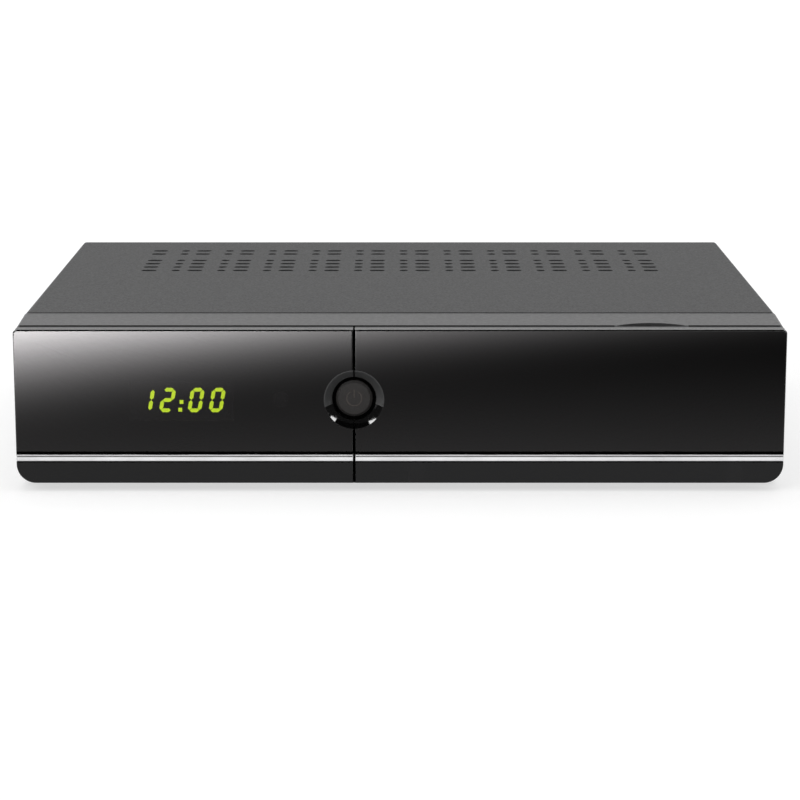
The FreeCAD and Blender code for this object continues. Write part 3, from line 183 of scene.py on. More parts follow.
def worn(material, smooth, rough, size_mm, stretch=(1.0, 1.0, 1.0)):
    tree = material.node_tree
    polish = spread(tree, spots(tree, size_mm, 2.0, stretch), 0.35, 0.65, smooth, rough)
    tree.links.new(polish, shader_of(material).inputs["Roughness"])


def grained(material, size_mm, depth_mm, stretch=(1.0, 1.0, 1.0), detail=2.0):
    tree = material.node_tree
    bump = node(tree, "Bump", Strength=1.0, Distance=depth_mm / 1000.0)
    tree.links.new(spots(tree, size_mm, detail, stretch), bump.inputs["Height"])
    tree.links.new(bump.outputs["Normal"], shader_of(material).inputs["Normal"])


def finish(name, colour=(0.5, 0.5, 0.5), roughness=0.5, metallic=0.0, **sockets):
    material = bpy.data.materials.new(name)
    material.use_nodes = True
    shader = shader_of(material)
    shader.inputs["Base Color"].default_value = (*colour, 1.0)
    shader.inputs["Roughness"].default_value = roughness
    shader.inputs["Metallic"].default_value = metallic
    for socket, value in sockets.items():
        shader.inputs[socket.replace("_", " ")].default_value = value
    return material


finishes = {}
print("helpers: tinted, worn, grained, finish")

# %% [markdown]
# ## The textured paint of the cover
# The cover is a bent steel sheet under a charcoal powder coat. The powder
# melts into a skin with tiny lumps, so the sheet looks like very fine
# sandpaper: dark where the light comes straight down, and a mid grey at the
# low angle of the picture, where the lumps catch the light from behind. Two
# noises make it: lumps 0.6 mm across in the bump, and specks in the colour.

# %% Cover paint
cover_paint = finish("charcoal_powder_coat")
shader_of(cover_paint).inputs["Specular IOR Level"].default_value = 0.28
tinted(cover_paint, (0.016, 0.016, 0.017), (0.036, 0.036, 0.037), 0.55, 3.0)
worn(cover_paint, 0.54, 0.64, 0.9)
grained(cover_paint, 0.6, 0.05)
finishes["cover_paint"] = cover_paint
print("cover paint: grains of 0.6 mm, 0.05 mm high")

# %% [markdown]
# ## The smoked front
# The front is two sheets of acrylic, dyed almost black and polished. Light
# goes through it, but little of it: the digits behind shine through, and the
# dark case behind them doesn't show. A black paint with a clear coat would be
# simpler, and would hide the digits. So this one is a real transmitting
# material with a dark dye, and its polish waves by a hair's breadth, as
# moulded sheets do.

# %% Smoked acrylic
smoked_plate = finish("smoked_acrylic", roughness=0.012, IOR=1.49, Transmission_Weight=1.0)
tinted(smoked_plate, (0.038, 0.034, 0.037), (0.042, 0.038, 0.041), 35.0)
grained(smoked_plate, 30.0, 0.0012, detail=0.0)
finishes["smoked_plate"] = smoked_plate
print("smoked acrylic: index", shader_of(smoked_plate).inputs["IOR"].default_value)

# %% [markdown]
# ## Black and grey mouldings
# Behind the smoked sheets and round the sockets are plain mouldings. Their
# moulds are spark-eroded, which leaves a soft even grain. One helper makes
# them all from a colour, a polish and a size of grain, because only those
# three change from one moulding to the next.

# %% Mouldings
def moulding(slot, name, colour, roughness, grain_mm=0.4, depth_mm=0.012, shine=0.5):
    material = finish(name, colour, roughness)
    shader_of(material).inputs["Specular IOR Level"].default_value = shine
    lighter = tuple(min(1.0, part * 1.22 + 0.002) for part in colour)
    tinted(material, colour, lighter, 0.9)
    worn(material, roughness * 0.95, roughness * 1.08, 1.4)
    grained(material, grain_mm, depth_mm)
    finishes[slot] = material
    return material


moulding("black_moulding", "grained_black_moulding", (0.014, 0.014, 0.015), 0.42)
moulding("bezel_plastic", "satin_grey_moulding", (0.046, 0.046, 0.047), 0.42, 0.5, 0.006, 0.36)
moulding("button_plastic", "soft_black_moulding", (0.026, 0.0245, 0.0235), 0.46, 0.25, 0.01, 0.3)
moulding("display_case", "matt_display_case", (0.010, 0.010, 0.011), 0.6)
moulding("dark_resin", "unlit_resin", (0.030, 0.032, 0.026), 0.35)
moulding("socket_plastic", "black_socket_moulding", (0.018, 0.018, 0.019), 0.38)
moulding("connector_white", "ivory_connector_moulding", (0.62, 0.60, 0.54), 0.45)
moulding("collar_yellow", "yellow_collar_moulding", (0.72, 0.48, 0.02), 0.3)
moulding("collar_white", "white_collar_moulding", (0.72, 0.72, 0.70), 0.3)
moulding("collar_red", "red_collar_moulding", (0.50, 0.015, 0.015), 0.3)
moulding("rocker_plastic", "rocker_moulding", (0.020, 0.020, 0.021), 0.3)
moulding("switch_case", "switch_moulding", (0.030, 0.030, 0.030), 0.4)
moulding("chip_epoxy", "chip_epoxy", (0.022, 0.022, 0.023), 0.55, 0.15, 0.01)
moulding("foot_rubber", "foot_rubber", (0.022, 0.022, 0.022), 0.75, 0.8, 0.04)
moulding("choke_ferrite", "choke_ferrite", (0.045, 0.040, 0.036), 0.6, 0.3, 0.03)
print("mouldings:", len(finishes) - 2)

# %% [markdown]
# ## The two finishes of the ring
# The ring round the power button is black. Its upper part, a little more than
# half of the way round, is satin, and its colour there is a painted reflection:
# a dark grey that stands in for the white table which that part faces. Its
# lower part is polished like a piano key. They could be two pieces, but the
# ring is one moulding, so one finish has both. Two lines that fall away from
# the middle, by 0.24 for each step aside, part the satin and its painted grey
# from the polish. The bore inside the ring, up to 8.1 mm from the middle, stays
# black all round.

# %% Ring finish
ring_middle = Vector((-0.0167, 0.0, 0.034))
satin_and_sheen_slope = 0.24
bore_radius = 0.0081
ring_gloss = finish("ring_satin_gloss_and_painted_sheen", roughness=0.3, IOR=1.5)
shader_of(ring_gloss).inputs["Coat Roughness"].default_value = 0.03
tree = ring_gloss.node_tree
from_middle = place_in(tree, Location=-ring_middle, Scale=(1.0, 0.0, 1.0))
aside, _, up = axes(tree, from_middle)
above = calc(tree, "MULTIPLY_ADD", calc(tree, "ABSOLUTE", aside), satin_and_sheen_slope, up)
satin_and_sheen = spread(tree, above, -0.00005, 0.00005)
outside = spread(tree, length(tree, from_middle), bore_radius, bore_radius + 0.0001)
painted_sheen_mask = calc(tree, "MULTIPLY", satin_and_sheen, outside)
# Painted reflection: the satin upper part gets a dark grey base colour for the white table it faces; the
# polish and the bore stay black.
shade = ramp(tree, painted_sheen_mask, (0.0, (0.0025, 0.0025, 0.0025)), (1.0, (0.036, 0.037, 0.037)))
tree.links.new(shade, shader_of(ring_gloss).inputs["Base Color"])
rough = ramp(tree, satin_and_sheen, (0.0, (0.06, 0.06, 0.06)), (1.0, (0.5, 0.5, 0.5)))
tree.links.new(rough, shader_of(ring_gloss).inputs["Roughness"])
grained(ring_gloss, 0.3, 0.002)
finishes["ring_gloss"] = ring_gloss
print("ring: satin above", round(ring_middle.z * 1000 - 2), "mm, polished below")

# %% [markdown]
# ## Bare and plated metal
# Metal is told from plastic by its reflections, so `metal` keeps its colour
# nearly even and varies the polish. A long stretch along one axis turns the
# noise into drawn streaks, as on a rolled sheet or an extruded heat sink.

# %% Metals
def metal(slot, name, colour, smooth, rough, spots_mm=5.0, stretch=(1.0, 1.0, 1.0), depth_mm=0.004):
    material = finish(name, colour, smooth, metallic=1.0)
    darker = tuple(part * 0.9 for part in colour)
    tinted(material, darker, colour, spots_mm, 3.0, stretch)
    worn(material, smooth, rough, spots_mm * 0.6, stretch)
    grained(material, spots_mm * 0.3, depth_mm, stretch)
    finishes[slot] = material
    return material


metal("bright_strip", "bright_plating", (0.84, 0.84, 0.85), 0.05, 0.09, 20.0, depth_mm=0.001)
metal("sink_aluminium", "drawn_aluminium", (0.62, 0.63, 0.64), 0.3, 0.46, 3.0, (0.1, 0.1, 1.0))
metal("tinned_steel", "tinned_steel", (0.66, 0.66, 0.64), 0.28, 0.42, 7.0)
metal("nickel", "nickel_plating", (0.70, 0.67, 0.61), 0.16, 0.26, 2.5)
metal("pin_steel", "plated_pins", (0.66, 0.65, 0.62), 0.18, 0.3, 1.5)
metal("screw_steel", "blackened_screws", (0.10, 0.10, 0.105), 0.3, 0.44, 1.2)
print("metals:", 6)

# %% [markdown]
# ## Zinc on the tray and rear panel
# Hot zinc freezes into flat crystals, and each one reflects in its own
# direction. Voronoi cells are just such patches. Each cell has one random
# value, and that value sets both the shade and the polish of the patch.

# %% Zinc sheet
crystals_per_metre = 190.0
zinc = finish("zinc_sheet", metallic=1.0)
tree = zinc.node_tree
crystals = node(tree, "TexVoronoi", Scale=crystals_per_metre)
tree.links.new(place_in(tree), crystals.inputs["Vector"])
split = node(tree, "SeparateColor")
tree.links.new(crystals.outputs["Color"], split.inputs["Color"])
value = split.outputs["Red"]
shade = ramp(tree, value, (0.0, (0.40, 0.41, 0.42)), (1.0, (0.52, 0.53, 0.54)))
tree.links.new(shade, shader_of(zinc).inputs["Base Color"])
tree.links.new(spread(tree, value, 0.0, 1.0, 0.34, 0.5), shader_of(zinc).inputs["Roughness"])
grained(zinc, 1.4, 0.008)
finishes["zinc_steel"] = zinc
print("zinc sheet: crystals about", round(1000 / crystals_per_metre, 1), "mm")

# %% [markdown]
# ## The lit digits
# Each bar of the display is a small slab of clear resin over a lamp. It gives
# light of its own, so the finish is an emission. The acrylic in front takes
# most of it away, so it starts brighter than it looks. A little noise keeps
# the bars from being perfectly even.

# %% Lit bars
lamp_strength = 22.0
lit = finish("lit_resin", (0.30, 0.45, 0.02), 0.4)
tree = lit.node_tree
glow = ramp(tree, spots(tree, 1.6), (0.3, (0.52, 0.80, 0.018)), (0.7, (0.60, 0.88, 0.026)))
tree.links.new(glow, shader_of(lit).inputs["Emission Color"])
shader_of(lit).inputs["Emission Strength"].default_value = lamp_strength
finishes["lit_resin"] = lit
print("lit bars: strength", lamp_strength)

# %% [markdown]
# ## Circuit boards
# A board is green lacquer over copper tracks, with bare glass cloth between.
# The tracks show as a slightly lighter green, and slightly raised. A Brick
# texture has the right look when its rows are about a millimetre high: long
# runs side by side, with a step every few millimetres.

# %% Board lacquer
track_step, track_length, track_gap = 0.0011, 0.0085, 0.00016
board = finish("board_lacquer", roughness=0.3)
tree = board.node_tree
tracks = node(
    tree, "TexBrick", Scale=1.0, Mortar_Size=track_gap, Brick_Width=track_length, Row_Height=track_step,
    Color1=(0.016, 0.115, 0.045, 1.0), Color2=(0.022, 0.150, 0.055, 1.0), Mortar=(0.006, 0.055, 0.022, 1.0),
)
tree.links.new(place_in(tree), tracks.inputs["Vector"])
tree.links.new(tracks.outputs["Color"], shader_of(board).inputs["Base Color"])
relief = node(tree, "Bump", Strength=1.0, Distance=0.00004)
relief.invert = True
tree.links.new(tracks.outputs["Fac"], relief.inputs["Height"])
tree.links.new(relief.outputs["Normal"], shader_of(board).inputs["Normal"])
finishes["board_laminate"] = board
print("board: tracks", round(track_step * 1000, 1), "mm apart")

# %% [markdown]
# ## The small finishes inside
# These are the sleeves, tapes, films and leads inside the case. They are seen
# only through the slots, yet each has its own look: a shrunk sleeve is shiny,
# tape shows its winding, a ribbon is ribbed along its length, and the fuse is
# a glass tube.

# %% Inside finishes
moulding("can_sleeve", "shrunk_sleeve", (0.018, 0.022, 0.040), 0.25, 2.0, 0.01)
moulding("winding_tape", "winding_tape", (0.62, 0.45, 0.05), 0.35, 1.0, 0.02)
moulding("lead_cover", "red_lead_sleeve", (0.42, 0.02, 0.02), 0.35, 0.8, 0.01)
moulding("ribbon_cover", "grey_lead_sleeve", (0.36, 0.36, 0.37), 0.45, 0.8, 0.02)
moulding("insulator", "insulating_film", (0.70, 0.70, 0.66), 0.3, 12.0, 0.02)
sensor = finish("sensor_resin", roughness=0.12, IOR=1.5, Transmission_Weight=0.6)
tinted(sensor, (0.05, 0.008, 0.016), (0.07, 0.012, 0.022), 3.0)
finishes["sensor_resin"] = sensor
fuse_glass = finish("fuse_glass", roughness=0.03, IOR=1.5, Transmission_Weight=0.9)
tinted(fuse_glass, (0.80, 0.84, 0.83), (0.90, 0.92, 0.92), 4.0)
finishes["fuse_glass"] = fuse_glass
print("finishes in all:", len(finishes))

# %% [markdown]
# ## Giving each solid its finish
# The model's record names a material slot for each solid. The loop reads that
# name, finds the finish made for it above, and puts it in the object's first
# slot. The meshes themselves stay as they are.

# %% Dress the solids
slot_of = {part["node"]: part["material_slot"] for part in frame["record"]["subparts"]}
for name, solid in solids.items():
    solid.data.materials.clear()
    solid.data.materials.append(finishes[slot_of[name]])
    for polygon in solid.data.polygons:
        polygon.material_index = 0
unused = sorted(set(finishes) - set(slot_of.values()))
print("dressed", len(solids), "solids; finishes not used yet:", unused)

# %% [markdown]
# ## The studio
# The picture was taken on a white table in front of white paper. The floor is
# one large sheet. Part of its white is paint, which takes the shadow of the
# receiver, and the rest is its own light, which only the camera and the
# reflections see. The lamps fade far from the case, so that share grows with
# the distance, and the sheet stays white up to the top of the picture. `sheet`
# makes any flat rectangle, and `glowing` a material that only gives light: the
# reflection cards further on use both.

# %% Floor
def seen_only(tree):
    path = node(tree, "LightPath")
    seen = calc(tree, "MAXIMUM", path.outputs["Is Camera Ray"], path.outputs["Is Glossy Ray"])
    return calc(tree, "MAXIMUM", seen, path.outputs["Is Transmission Ray"])


def glowing(name, colour, strength=1.0):
    material = bpy.data.materials.new(name)
    material.use_nodes = True
    tree = material.node_tree
    tree.nodes.clear()
    own = node(tree, "Emission", Color=(*colour, 1.0), Strength=strength)
    out = node(tree, "OutputMaterial")
    tree.links.new(own.outputs[0], out.inputs["Surface"])
    return material, own, out


def sheet(name, corners, material, unseen=()):
    mesh = bpy.data.meshes.new(name)
    mesh.from_pydata(corners, [], [(0, 1, 2, 3)])
    mesh.materials.append(material)
    made = bpy.data.objects.new(name, mesh)
    bpy.context.scene.collection.objects.link(made)
    for ray in unseen:
        setattr(made, "visible_" + ray, False)


white = (1.0, 1.0, 1.0)
paper, own, out = glowing("white_paper", white)
tree = paper.node_tree
near, far = 0.35, 2.6
share = spread(tree, length(tree, place_in(tree)), near, far, 0.60, 1.0)
tree.links.new(calc(tree, "MULTIPLY", seen_only(tree), share), own.inputs["Strength"])
paint = node(tree, "BsdfDiffuse", Color=(0.50, 0.50, 0.50, 1.0))
both = node(tree, "AddShader")
tree.links.new(paint.outputs[0], both.inputs[0])
tree.links.new(own.outputs[0], both.inputs[1])
tree.links.new(both.outputs[0], out.inputs["Surface"])
sheet("paper_floor", [(-6, -6, 0), (6, -6, 0), (6, 6, 0), (-6, 6, 0)], paper)
print("floor 12 m square at z = 0")

# %% [markdown]
# ## The light
# The world is a white room. The camera and the reflections see it at full
# white, and the surfaces get a little over half of that as soft light. One
# wide lamp overhead and one at the front left add the rest, so that an even
# white card on the table would come out just white.

# %% World and lamps
soft_light = 0.58
world = bpy.data.worlds.new("white_room")
bpy.context.scene.world = world
world.use_nodes = True
tree = world.node_tree
sky = tree.nodes["Background"]
sky.inputs["Color"].default_value = (*white, 1.0)
tree.links.new(spread(tree, seen_only(tree), 0.0, 1.0, soft_light, 1.0), sky.inputs["Strength"])


def softbox(name, place, target, width, height, power):
    data = bpy.data.lights.new(name, "AREA")
    data.shape = "RECTANGLE"
    data.size = width
    data.size_y = height
    data.energy = power
    lamp = bpy.data.objects.new(name, data)
    lamp.location = place
    lamp.rotation_euler = (Vector(target) - Vector(place)).to_track_quat("-Z", "Y").to_euler()
    bpy.context.scene.collection.objects.link(lamp)


softbox("softbox_overhead", (0.0, 0.1, 1.3), (0.0, 0.0, 0.0), 1.4, 1.0, 5.5)
softbox("softbox_front_left", (-0.9, -1.1, 0.9), (0.0, 0.0, 0.03), 0.7, 0.7, 4.0)

# %% [markdown]
# ## What the gloss reflects
# A polished black sheet shows no colour of its own, only the room in front of
# it. In the picture that is a window of light at the upper left that fades to
# a dark room at the right. A lamp there would also light the table. So a card
# stands just ahead of the front, seen by reflections and by nothing else. Its
# brightness is a smooth falling curve, e to the power of a sum: one part falls
# with each step to the right, one with each step down, and one in the corner.
# The room below the window gets a little brighter towards the table.

# %% Reflection card
all_but_gloss = ("camera", "diffuse", "shadow", "transmission")


def falling(tree, steps, straight, bend):
    slope = calc(tree, "MULTIPLY_ADD", steps, -bend, -straight)
    return calc(tree, "MULTIPLY", steps, slope)


card_paper, own, out = glowing("reflection_card", (1.0, 0.97, 0.98))
tree = card_paper.node_tree
across, _, height = axes(tree, place_in(tree))
step, card_left, card_top = 0.001054, -0.1405, 0.0494
right = spread(tree, across, card_left, card_left + step, clamp=False)
down = spread(tree, height, card_top, card_top - step, clamp=False)
corner = calc(tree, "MULTIPLY", calc(tree, "MULTIPLY", right, down), -0.00065)
fall = calc(tree, "ADD", falling(tree, right, 0.0095, 0.000026), falling(tree, down, 0.0765, 0.00168))
window = calc(tree, "EXPONENT", calc(tree, "ADD", fall, corner))
towards_table = calc(tree, "POWER", spread(tree, height, 0.0510, 0.0036), 1.4)
room = spread(tree, towards_table, 0.0, 1.0, 0.06, 0.54)
both = calc(tree, "ADD", calc(tree, "MULTIPLY", window, 19.0), room)
hem = spread(tree, height, 0.00219, 0.00221, 0.05, 1.0)
tree.links.new(calc(tree, "MULTIPLY", both, hem), own.inputs["Strength"])

side, card_y, card_foot, card_head = 0.22, -0.162, 0.0017, 0.0515
sheet("reflection_card", [
    (-side, card_y, card_foot), (side, card_y, card_foot),
    (side, card_y, card_head), (-side, card_y, card_head),
], card_paper, all_but_gloss)
print("reflection card 52 mm ahead of the front")

# %% [markdown]
# ## A grey mat for the lower edge
# The lowest part of the front mirrors the table just ahead of it. In the
# picture that band is an even dark grey, so the real table wasn't white there.
# The floor could be painted grey, but then the camera would see it too. A grey
# mat that only reflections see does it instead.

# %% Grey mat
grey_paper, own, out = glowing("grey_paper", (0.56, 0.56, 0.57))
mat_front, mat_back, mat_height = -0.1585, -0.1115, 0.0004
sheet("reflection_mat", [
    (-side, mat_front, mat_height), (side, mat_front, mat_height),
    (side, mat_back, mat_height), (-side, mat_back, mat_height),
], grey_paper, all_but_gloss)
print("grey mat", round((mat_back - mat_front) * 1000), "mm deep")

# %% [markdown]
# ## A dark flag over the ring
# The lower half of the dished ring looks up, where the room is white, and yet
# it is black with bright spots. So a dark flag hangs above it, with a bright
# patch towards each end. The spots could be painted on the ring, but a real
# reflection moves as the camera does, and stays off the satin part.

# %% Ring flag
flag_cloth, own, out = glowing("flag_cloth", white)
tree = flag_cloth.node_tree
flag_half = 0.7
across = axes(tree, place_in(tree))["X"]
black = (0.0, 0.0, 0.0)
patches = ramp(
    tree, spread(tree, across, -flag_half, flag_half),
    (0.0, black), (0.16, black), (0.17, white), (0.32, white), (0.33, black),
    (0.70, black), (0.71, white), (0.86, white), (0.87, black))
tree.links.new(calc(tree, "MULTIPLY", patches, 16.0), own.inputs["Strength"])
flag_front, flag_back, flag_height = -0.26, -0.118, 0.3
sheet("reflection_flag", [
    (-flag_half, flag_front, flag_height), (flag_half, flag_front, flag_height),
    (flag_half, flag_back, flag_height), (-flag_half, flag_back, flag_height),
], flag_cloth, all_but_gloss)
print("flag", flag_height, "m up, with two bright patches")

# %% [markdown]
# ## Making small pieces
# The parts below are too fine for the solids. Each is a mesh made in code, in
# the same frame, so its numbers can be checked against the solids. `piece`
# hangs a mesh on the body it moves with and gives it a finish. `bars` makes a
# set of small blocks with softened edges, because no real edge is sharp, and a
# soft edge catches a thin line of light.

# %% Piece helpers
def piece(name, mesh, slot, body, material=None):
    mesh.materials.clear()
    mesh.materials.append(material or finishes[slot])
    made = bpy.data.objects.new(name, mesh)
    bpy.context.scene.collection.objects.link(made)
    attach(made, body)
    return made


def mm(*numbers):
    return Vector([number / 1000.0 for number in numbers])


def mesh_of(name, shape, tidy_normals=False):
    if tidy_normals:
        bmesh.ops.recalc_face_normals(shape, faces=shape.faces[:])
    mesh = bpy.data.meshes.new(name)
    shape.to_mesh(mesh)
    shape.free()
    return mesh


def bars(name, corners, slot, body, soften=0.05, material=None):
    shape = bmesh.new()
    for low, high in corners:
        low, high = mm(*low), mm(*high)
        grow = Matrix.Diagonal((*(high - low), 1.0))
        bmesh.ops.create_cube(shape, size=1.0, matrix=Matrix.Translation((low + high) / 2) @ grow)
    bmesh.ops.bevel(shape, geom=shape.edges[:], offset=soften / 1000.0, segments=2, affect="EDGES")
    return piece(name, mesh_of(name, shape), slot, body, material)


print("helpers: piece, mm, mesh_of, bars")

# %% [markdown]
# ## Painted shade in the gaps
# The dark lines round the bright strip and above the front are painted shade:
# thin strips of a near-black finish laid in the gaps, so that they read as
# shadow. Black plastic wouldn't do: seen along its surface it shines. This
# finish has no shine at all, so its Specular IOR Level is zero, and it has a
# fuzz of noise in its colour.

# %% Shineless black for painted shade
# Painted shade: a near-black finish with no shine, used only to make gaps read as shadow.
shade_black = finish("painted_shade_black", roughness=1.0)
shader_of(shade_black).inputs["Specular IOR Level"].default_value = 0.0
tinted(shade_black, (0.0012, 0.0012, 0.0012), (0.0035, 0.0035, 0.0035), 0.3)
grained(shade_black, 0.2, 0.02)

front = -110.0
strip_from, strip_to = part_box("fascia_trim")
strip_low, strip_high, strip_face = strip_from.z * 1000, strip_to.z * 1000, strip_from.y * 1000
notch_low = strip_low + 0.60 * (strip_high - strip_low)
notch_high = strip_low + 0.72 * (strip_high - strip_low)
sides = {"receiver": (-139.85, -17.15), "door": (-16.25, 139.85)}
# Painted shade: black strips above and below the bright strip, in its notch, and along the top edge.
for body, (left, right_end) in sides.items():
    bars("strip_painted_shade_" + body, [
        ((left, front - 0.06, strip_high + 0.02), (right_end, front + 0.5, strip_high + 0.95)),
        ((left, front - 0.06, strip_low - 0.5), (right_end, front + 0.5, strip_low - 0.02)),
        ((left + 0.2, strip_face + 0.12, notch_low + 0.02),
         (right_end - 0.2, strip_face + 0.36, notch_high - 0.02)),
    ], "black_moulding", body, 0.02, shade_black)
    bars("top_edge_painted_shade_" + body, [
        ((left + 1.2, front - 0.03, 59.72), (right_end - 1.2, front + 0.3, 59.99)),
    ], "black_moulding", body, 0.02, shade_black)
print("painted shade: strip from", round(strip_low, 2), "to", round(strip_high, 2), "mm")

# %% [markdown]
# ## Painted shade behind the gaps
# Three more gaps get painted shade from behind, black blocks so that no light
# comes through them: the one between the plates and the strip above, which
# leaves the thumb notch free, the upright seam between the two plates, and the
# two windows where the hinge shows through the door's shell. Each is a plain
# block of the same near-black finish.

# %% Painted shade behind the gaps
gap_front, gap_back, gap_low, gap_high = -102.9, -102.62, 58.4, 60.27
thumb_notch_left, thumb_notch_right, case_side = 78.0, 105.0, 138.5
# Painted shade: black blocks behind the top gap, the seam and the hinge windows.
bars("gap_painted_shade", [
    ((-case_side, gap_front, gap_low), (thumb_notch_left, gap_back, gap_high)),
    ((thumb_notch_right, gap_front, gap_low), (case_side, gap_back, gap_high)),
], "black_moulding", "receiver", 0.02, shade_black)
seam_left, seam_right = sides["receiver"][1] + 0.18, sides["door"][0] - 0.18
seam_front, seam_back, foot_front = -104.6, -103.9, -109.3
bars("seam_painted_shade", [
    ((seam_left, foot_front, 3.06), (seam_right, seam_back, 6.0)),
    ((seam_left, seam_front, 5.9), (seam_right, seam_back, 22.8)),
    ((seam_left, seam_front, 45.2), (seam_right, seam_back, 59.4)),
], "black_moulding", "receiver", 0.02, shade_black)
hinge_middles = (6.0, 122.0)
bars("hinge_painted_shade", [
    ((middle - 3.5, -107.99, 3.2), (middle + 3.5, -107.9, 11.3)) for middle in hinge_middles
], "black_moulding", "door", 0.01, shade_black)
print("painted shade: seam", round(seam_right - seam_left, 2), "mm wide, hinge shades", len(hinge_middles))

# %% [markdown]
# ## The screw thread of the aerial sockets
# Aerial plugs screw on, so both sockets carry a fine thread: 32 turns to the
# inch, which is 0.79 mm from one turn to the next. The Screw modifier could
# make it, but a few lines of code give a true helix with a known pitch: the
# crest and the two feet of the ridge climb together round the barrel.

# %% Threads
def thread(shape, centre, start, length, radius, height, pitch, steps=28):
    rows = []
    turns = length / pitch
    for step in range(int(turns * steps) + 1):
        angle = math.tau * step / steps
        along = start + pitch * step / steps
        fade_in = max(0.0, min(1.0, step / steps, (turns * steps - step) / steps))
        row = []
        for shift, out_by in ((0.0, -0.05), (pitch * 0.42, height * fade_in), (pitch * 0.84, -0.05)):
            reach = radius + out_by
            row.append(shape.verts.new(mm(
                centre[0] + reach * math.cos(angle), along + shift, centre[1] + reach * math.sin(angle))))
        rows.append(row)
    for one, two in zip(rows, rows[1:]):
        for side in (0, 1):
            shape.faces.new((one[side], two[side], two[side + 1], one[side + 1]))


thread_start, thread_length, thread_pitch = 101.2, 7.2, 0.79
barrel_radius, thread_height = 4.7, 0.2
aerials = [(110.0, 20.5), (127.0, 20.5)]
shape = bmesh.new()
for aerial in aerials:
    thread(shape, aerial, thread_start, thread_length, barrel_radius, thread_height, thread_pitch)
mesh = mesh_of("aerial_threads", shape, tidy_normals=True)
mesh.polygons.foreach_set("use_smooth", [True] * len(mesh.polygons))
piece("aerial_threads", mesh, "nickel", "receiver")
print("threads:", round(thread_length / thread_pitch, 1), "turns each")

# %% [markdown]
# ## Insulators in the aerial sockets
# Inside each aerial socket a disc of pale plastic holds the centre contact. A
# disc with a hole is a turned part: its outline, swept round an axis. `turned`
# does that for any outline of (radius, distance) pairs, so it makes the ring of
# painted shade in the next step too. A cylinder with a second one cut out of it
# would take a boolean, which is slower and leaves worse faces.

# %% Turned parts
def turned(shape, centre, outline, steps=28):
    rings = []
    for radius, along in outline:
        rings.append([
            shape.verts.new(mm(
                centre[0] + radius * math.cos(math.tau * step / steps), along,
                centre[1] + radius * math.sin(math.tau * step / steps)))
            for step in range(steps)
        ])
    for one, two in zip(rings, rings[1:]):
        for step in range(steps):
            after = (step + 1) % steps
            shape.faces.new((one[step], one[after], two[after], two[step]))


def turned_set(name, centres, outline, slot, material=None):
    shape = bmesh.new()
    for centre in centres:
        turned(shape, centre, outline)
    bmesh.ops.remove_doubles(shape, verts=shape.verts[:], dist=1e-7)
    return piece(name, mesh_of(name, shape, tidy_normals=True), slot, "receiver", material)


insulator = [(1.1, 109.3), (1.3, 110.06), (3.3, 110.06), (3.5, 109.9), (3.5, 109.7)]
turned_set("aerial_insulators", aerials, insulator, "connector_white")
print("insulators in", len(aerials), "aerial sockets")

# %% [markdown]
# ## The dark gap round the button
# Between the button and its ring is a gap a millimetre and a half wide, and it
# reads as pure black. A ring of the same shineless black lies at the bottom of
# it as painted shade. It stays with the case, so it is still there when the door
# takes the right half of the ring away.

# %% Painted shade round the button
button_middle = (ring_middle.x * 1000, ring_middle.z * 1000)
shade_ring_inner, shade_ring_outer, shade_ring_back, shade_ring_front = 6.95, 7.9, -105.04, -105.38
# Painted shade: a black ring at the bottom of the gap round the button.
turned_set("button_gap_painted_shade", [button_middle], [
    (shade_ring_inner, shade_ring_back), (shade_ring_inner, shade_ring_front),
    (shade_ring_outer, shade_ring_front), (shade_ring_outer, shade_ring_back),
], "black_moulding", shade_black)
print("painted shade ring from", shade_ring_inner, "to", shade_ring_outer, "mm radius")

# %% [markdown]
# ## Marks on the keys
# The four keys behind the door have raised marks and no words: an arrow down,
# an arrow up, three lines for the menu and a ring to confirm. An arrow is a
# flat outline pushed out by a tenth of a millimetre, with the front face left
# a little smaller so that its edge slopes.

# %% Key marks
def raised(name, outlines, face_y, slot, body, height=0.12, taper=0.94, material=None):
    shape = bmesh.new()
    for outline in outlines:
        middle_x = sum(x for x, z in outline) / len(outline)
        middle_z = sum(z for x, z in outline) / len(outline)
        back = [shape.verts.new(mm(x, face_y + 0.05, z)) for x, z in outline]
        tip = [
            shape.verts.new(mm(
                middle_x + (x - middle_x) * taper, face_y - height, middle_z + (z - middle_z) * taper))
            for x, z in outline
        ]
        shape.faces.new(tip)
        for index in range(len(outline)):
            after = (index + 1) % len(outline)
            shape.faces.new((back[index], back[after], tip[after], tip[index]))
    return piece(name, mesh_of(name, shape, tidy_normals=True), slot, body, material)


def arc_cells(centre, inner, outer, begin, end, count):
    cells = []
    for step in range(count):
        now = math.radians(begin + (end - begin) * step / count)
        after = math.radians(begin + (end - begin) * (step + 1) / count)
        cells.append([
            (centre[0] + reach * math.cos(angle), centre[1] + reach * math.sin(angle))
            for reach, angle in ((outer, now), (outer, after), (inner, after), (inner, now))
        ])
    return cells


def key_face(node_name):
    low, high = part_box(node_name)
    return (low.x + high.x) * 500, (low.z + high.z) * 500, low.y * 1000


half, near_end, tip = 2.0, 1.2, 1.6
for mark, key, way in (("mark_down", "key_down", -1), ("mark_up", "key_up", 1)):
    x, z, y = key_face(key)
    arrow = [(x - half, z - way * near_end), (x + half, z - way * near_end), (x, z + way * tip)]
    raised(mark, [arrow], y, "connector_white", key)
x, z, y = key_face("key_menu")
raised("mark_menu", [
    [(x - half, z + lift), (x + half, z + lift), (x + half, z + lift + 0.5), (x - half, z + lift + 0.5)]
    for lift in (-1.65, -0.25, 1.15)
], y, "connector_white", "key_menu")
x, z, y = key_face("key_confirm")
circle = arc_cells((x, z), 1.15, 1.7, 0, 360, 24)
raised("mark_confirm", circle, y, "connector_white", "key_confirm", taper=1.0)
print("key marks: 4")

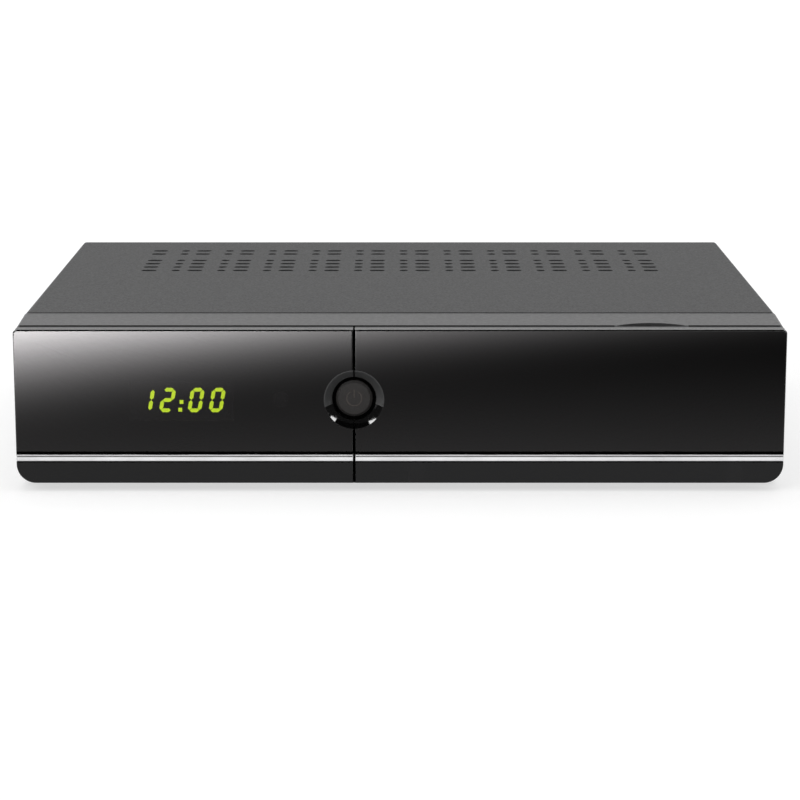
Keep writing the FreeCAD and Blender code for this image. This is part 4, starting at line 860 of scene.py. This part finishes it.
# %% [markdown]
# ## The power sign
# The button has the usual power sign, a broken ring with a bar, sunk by a
# quarter of a millimetre. The sunk shape is in the solid. A thin line of
# lighter, brownish colour lies in it, which lets the sign be read on the dark
# button.

# %% Power sign
sign_colour = finish("brown_sign_colour", roughness=0.4)
tinted(sign_colour, (0.060, 0.050, 0.044), (0.085, 0.072, 0.064), 0.5)
sign_floor = -106.75
x, z = button_middle
bar = [(x - 0.24, z + 0.15), (x + 0.24, z + 0.15), (x + 0.24, z + 3.35), (x - 0.24, z + 3.35)]
broken_ring = arc_cells(button_middle, 2.5, 2.95, 116, 424, 30)
raised("power_sign", broken_ring + [bar], sign_floor, "button_plastic", "power_button", 0.1, 1.0, sign_colour)
print("power sign: ring of 2.95 mm radius")

# %% [markdown]
# ## Small parts on the boards
# A board looks empty without its hundreds of chip resistors. They are two
# millimetres long, with a tinned cap at each end. The places are random but
# seeded, so every run gives the same board, and a place that would touch a
# larger part is thrown away. A part blocks its whole box, unless it is one of
# many in a solid: then each is blocked round its own corners.

# %% Chip resistors
chance = random.Random(7)
board_low, board_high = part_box("main_board")
scattered = ("board_chips", "capacitors", "lead_headers", "board_screws", "power_leads")
not_boxed = {
    "main_board", "power_board", "top_cover", "chassis_tray", "rear_panel", "front_bezel", "standoffs",
    "feet", "case_screws", "door_shell", "door_plate", "fascia_carrier", *scattered,
}
taken = []
for name in solids:
    low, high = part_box(name)
    on_board = low.z < board_high.z + 0.002 and high.z > board_high.z + 0.0002
    if on_board and name not in not_boxed:
        taken.append((low, high))
for name in scattered:
    for vertex in list(solids[name].data.vertices)[::6]:
        taken.append((vertex.co - mm(1.5, 1.5, 0), vertex.co + mm(1.5, 1.5, 0)))


def is_free(x, y, margin=2):
    return not any(
        low.x * 1000 - margin < x < high.x * 1000 + margin
        and low.y * 1000 - margin < y < high.y * 1000 + margin
        for low, high in taken)


def random_place(low, high, margin):
    grid = 1.5
    return round(chance.uniform(low * 1000 + margin, high * 1000 - margin) / grid) * grid


cases, caps = [], []
top = board_high.z * 1000
wanted, tries = 170, 900
for attempt in range(tries):
    x = random_place(board_low.x, board_high.x, 4)
    y = random_place(board_low.y, board_high.y, 6)
    if len(cases) < wanted and is_free(x, y):
        cases.append(((x - 0.6, y - 0.55, top), (x + 0.6, y + 0.55, top + 0.5)))
        for side in (-1, 1):
            inner, outer = sorted((x + side * 0.55, x + side * 1.0))
            caps.append(((inner, y - 0.6, top), (outer, y + 0.6, top + 0.55)))
bars("chip_resistor_bodies", cases, "chip_epoxy", "receiver", 0.06)
bars("chip_resistor_caps", caps, "tinned_steel", "receiver", 0.06)
print("chip resistors:", len(cases))

# %% [markdown]
# ## The end
# The dressed receiver has to stay the size of the solids.

# %% The end
print("end of the scene")
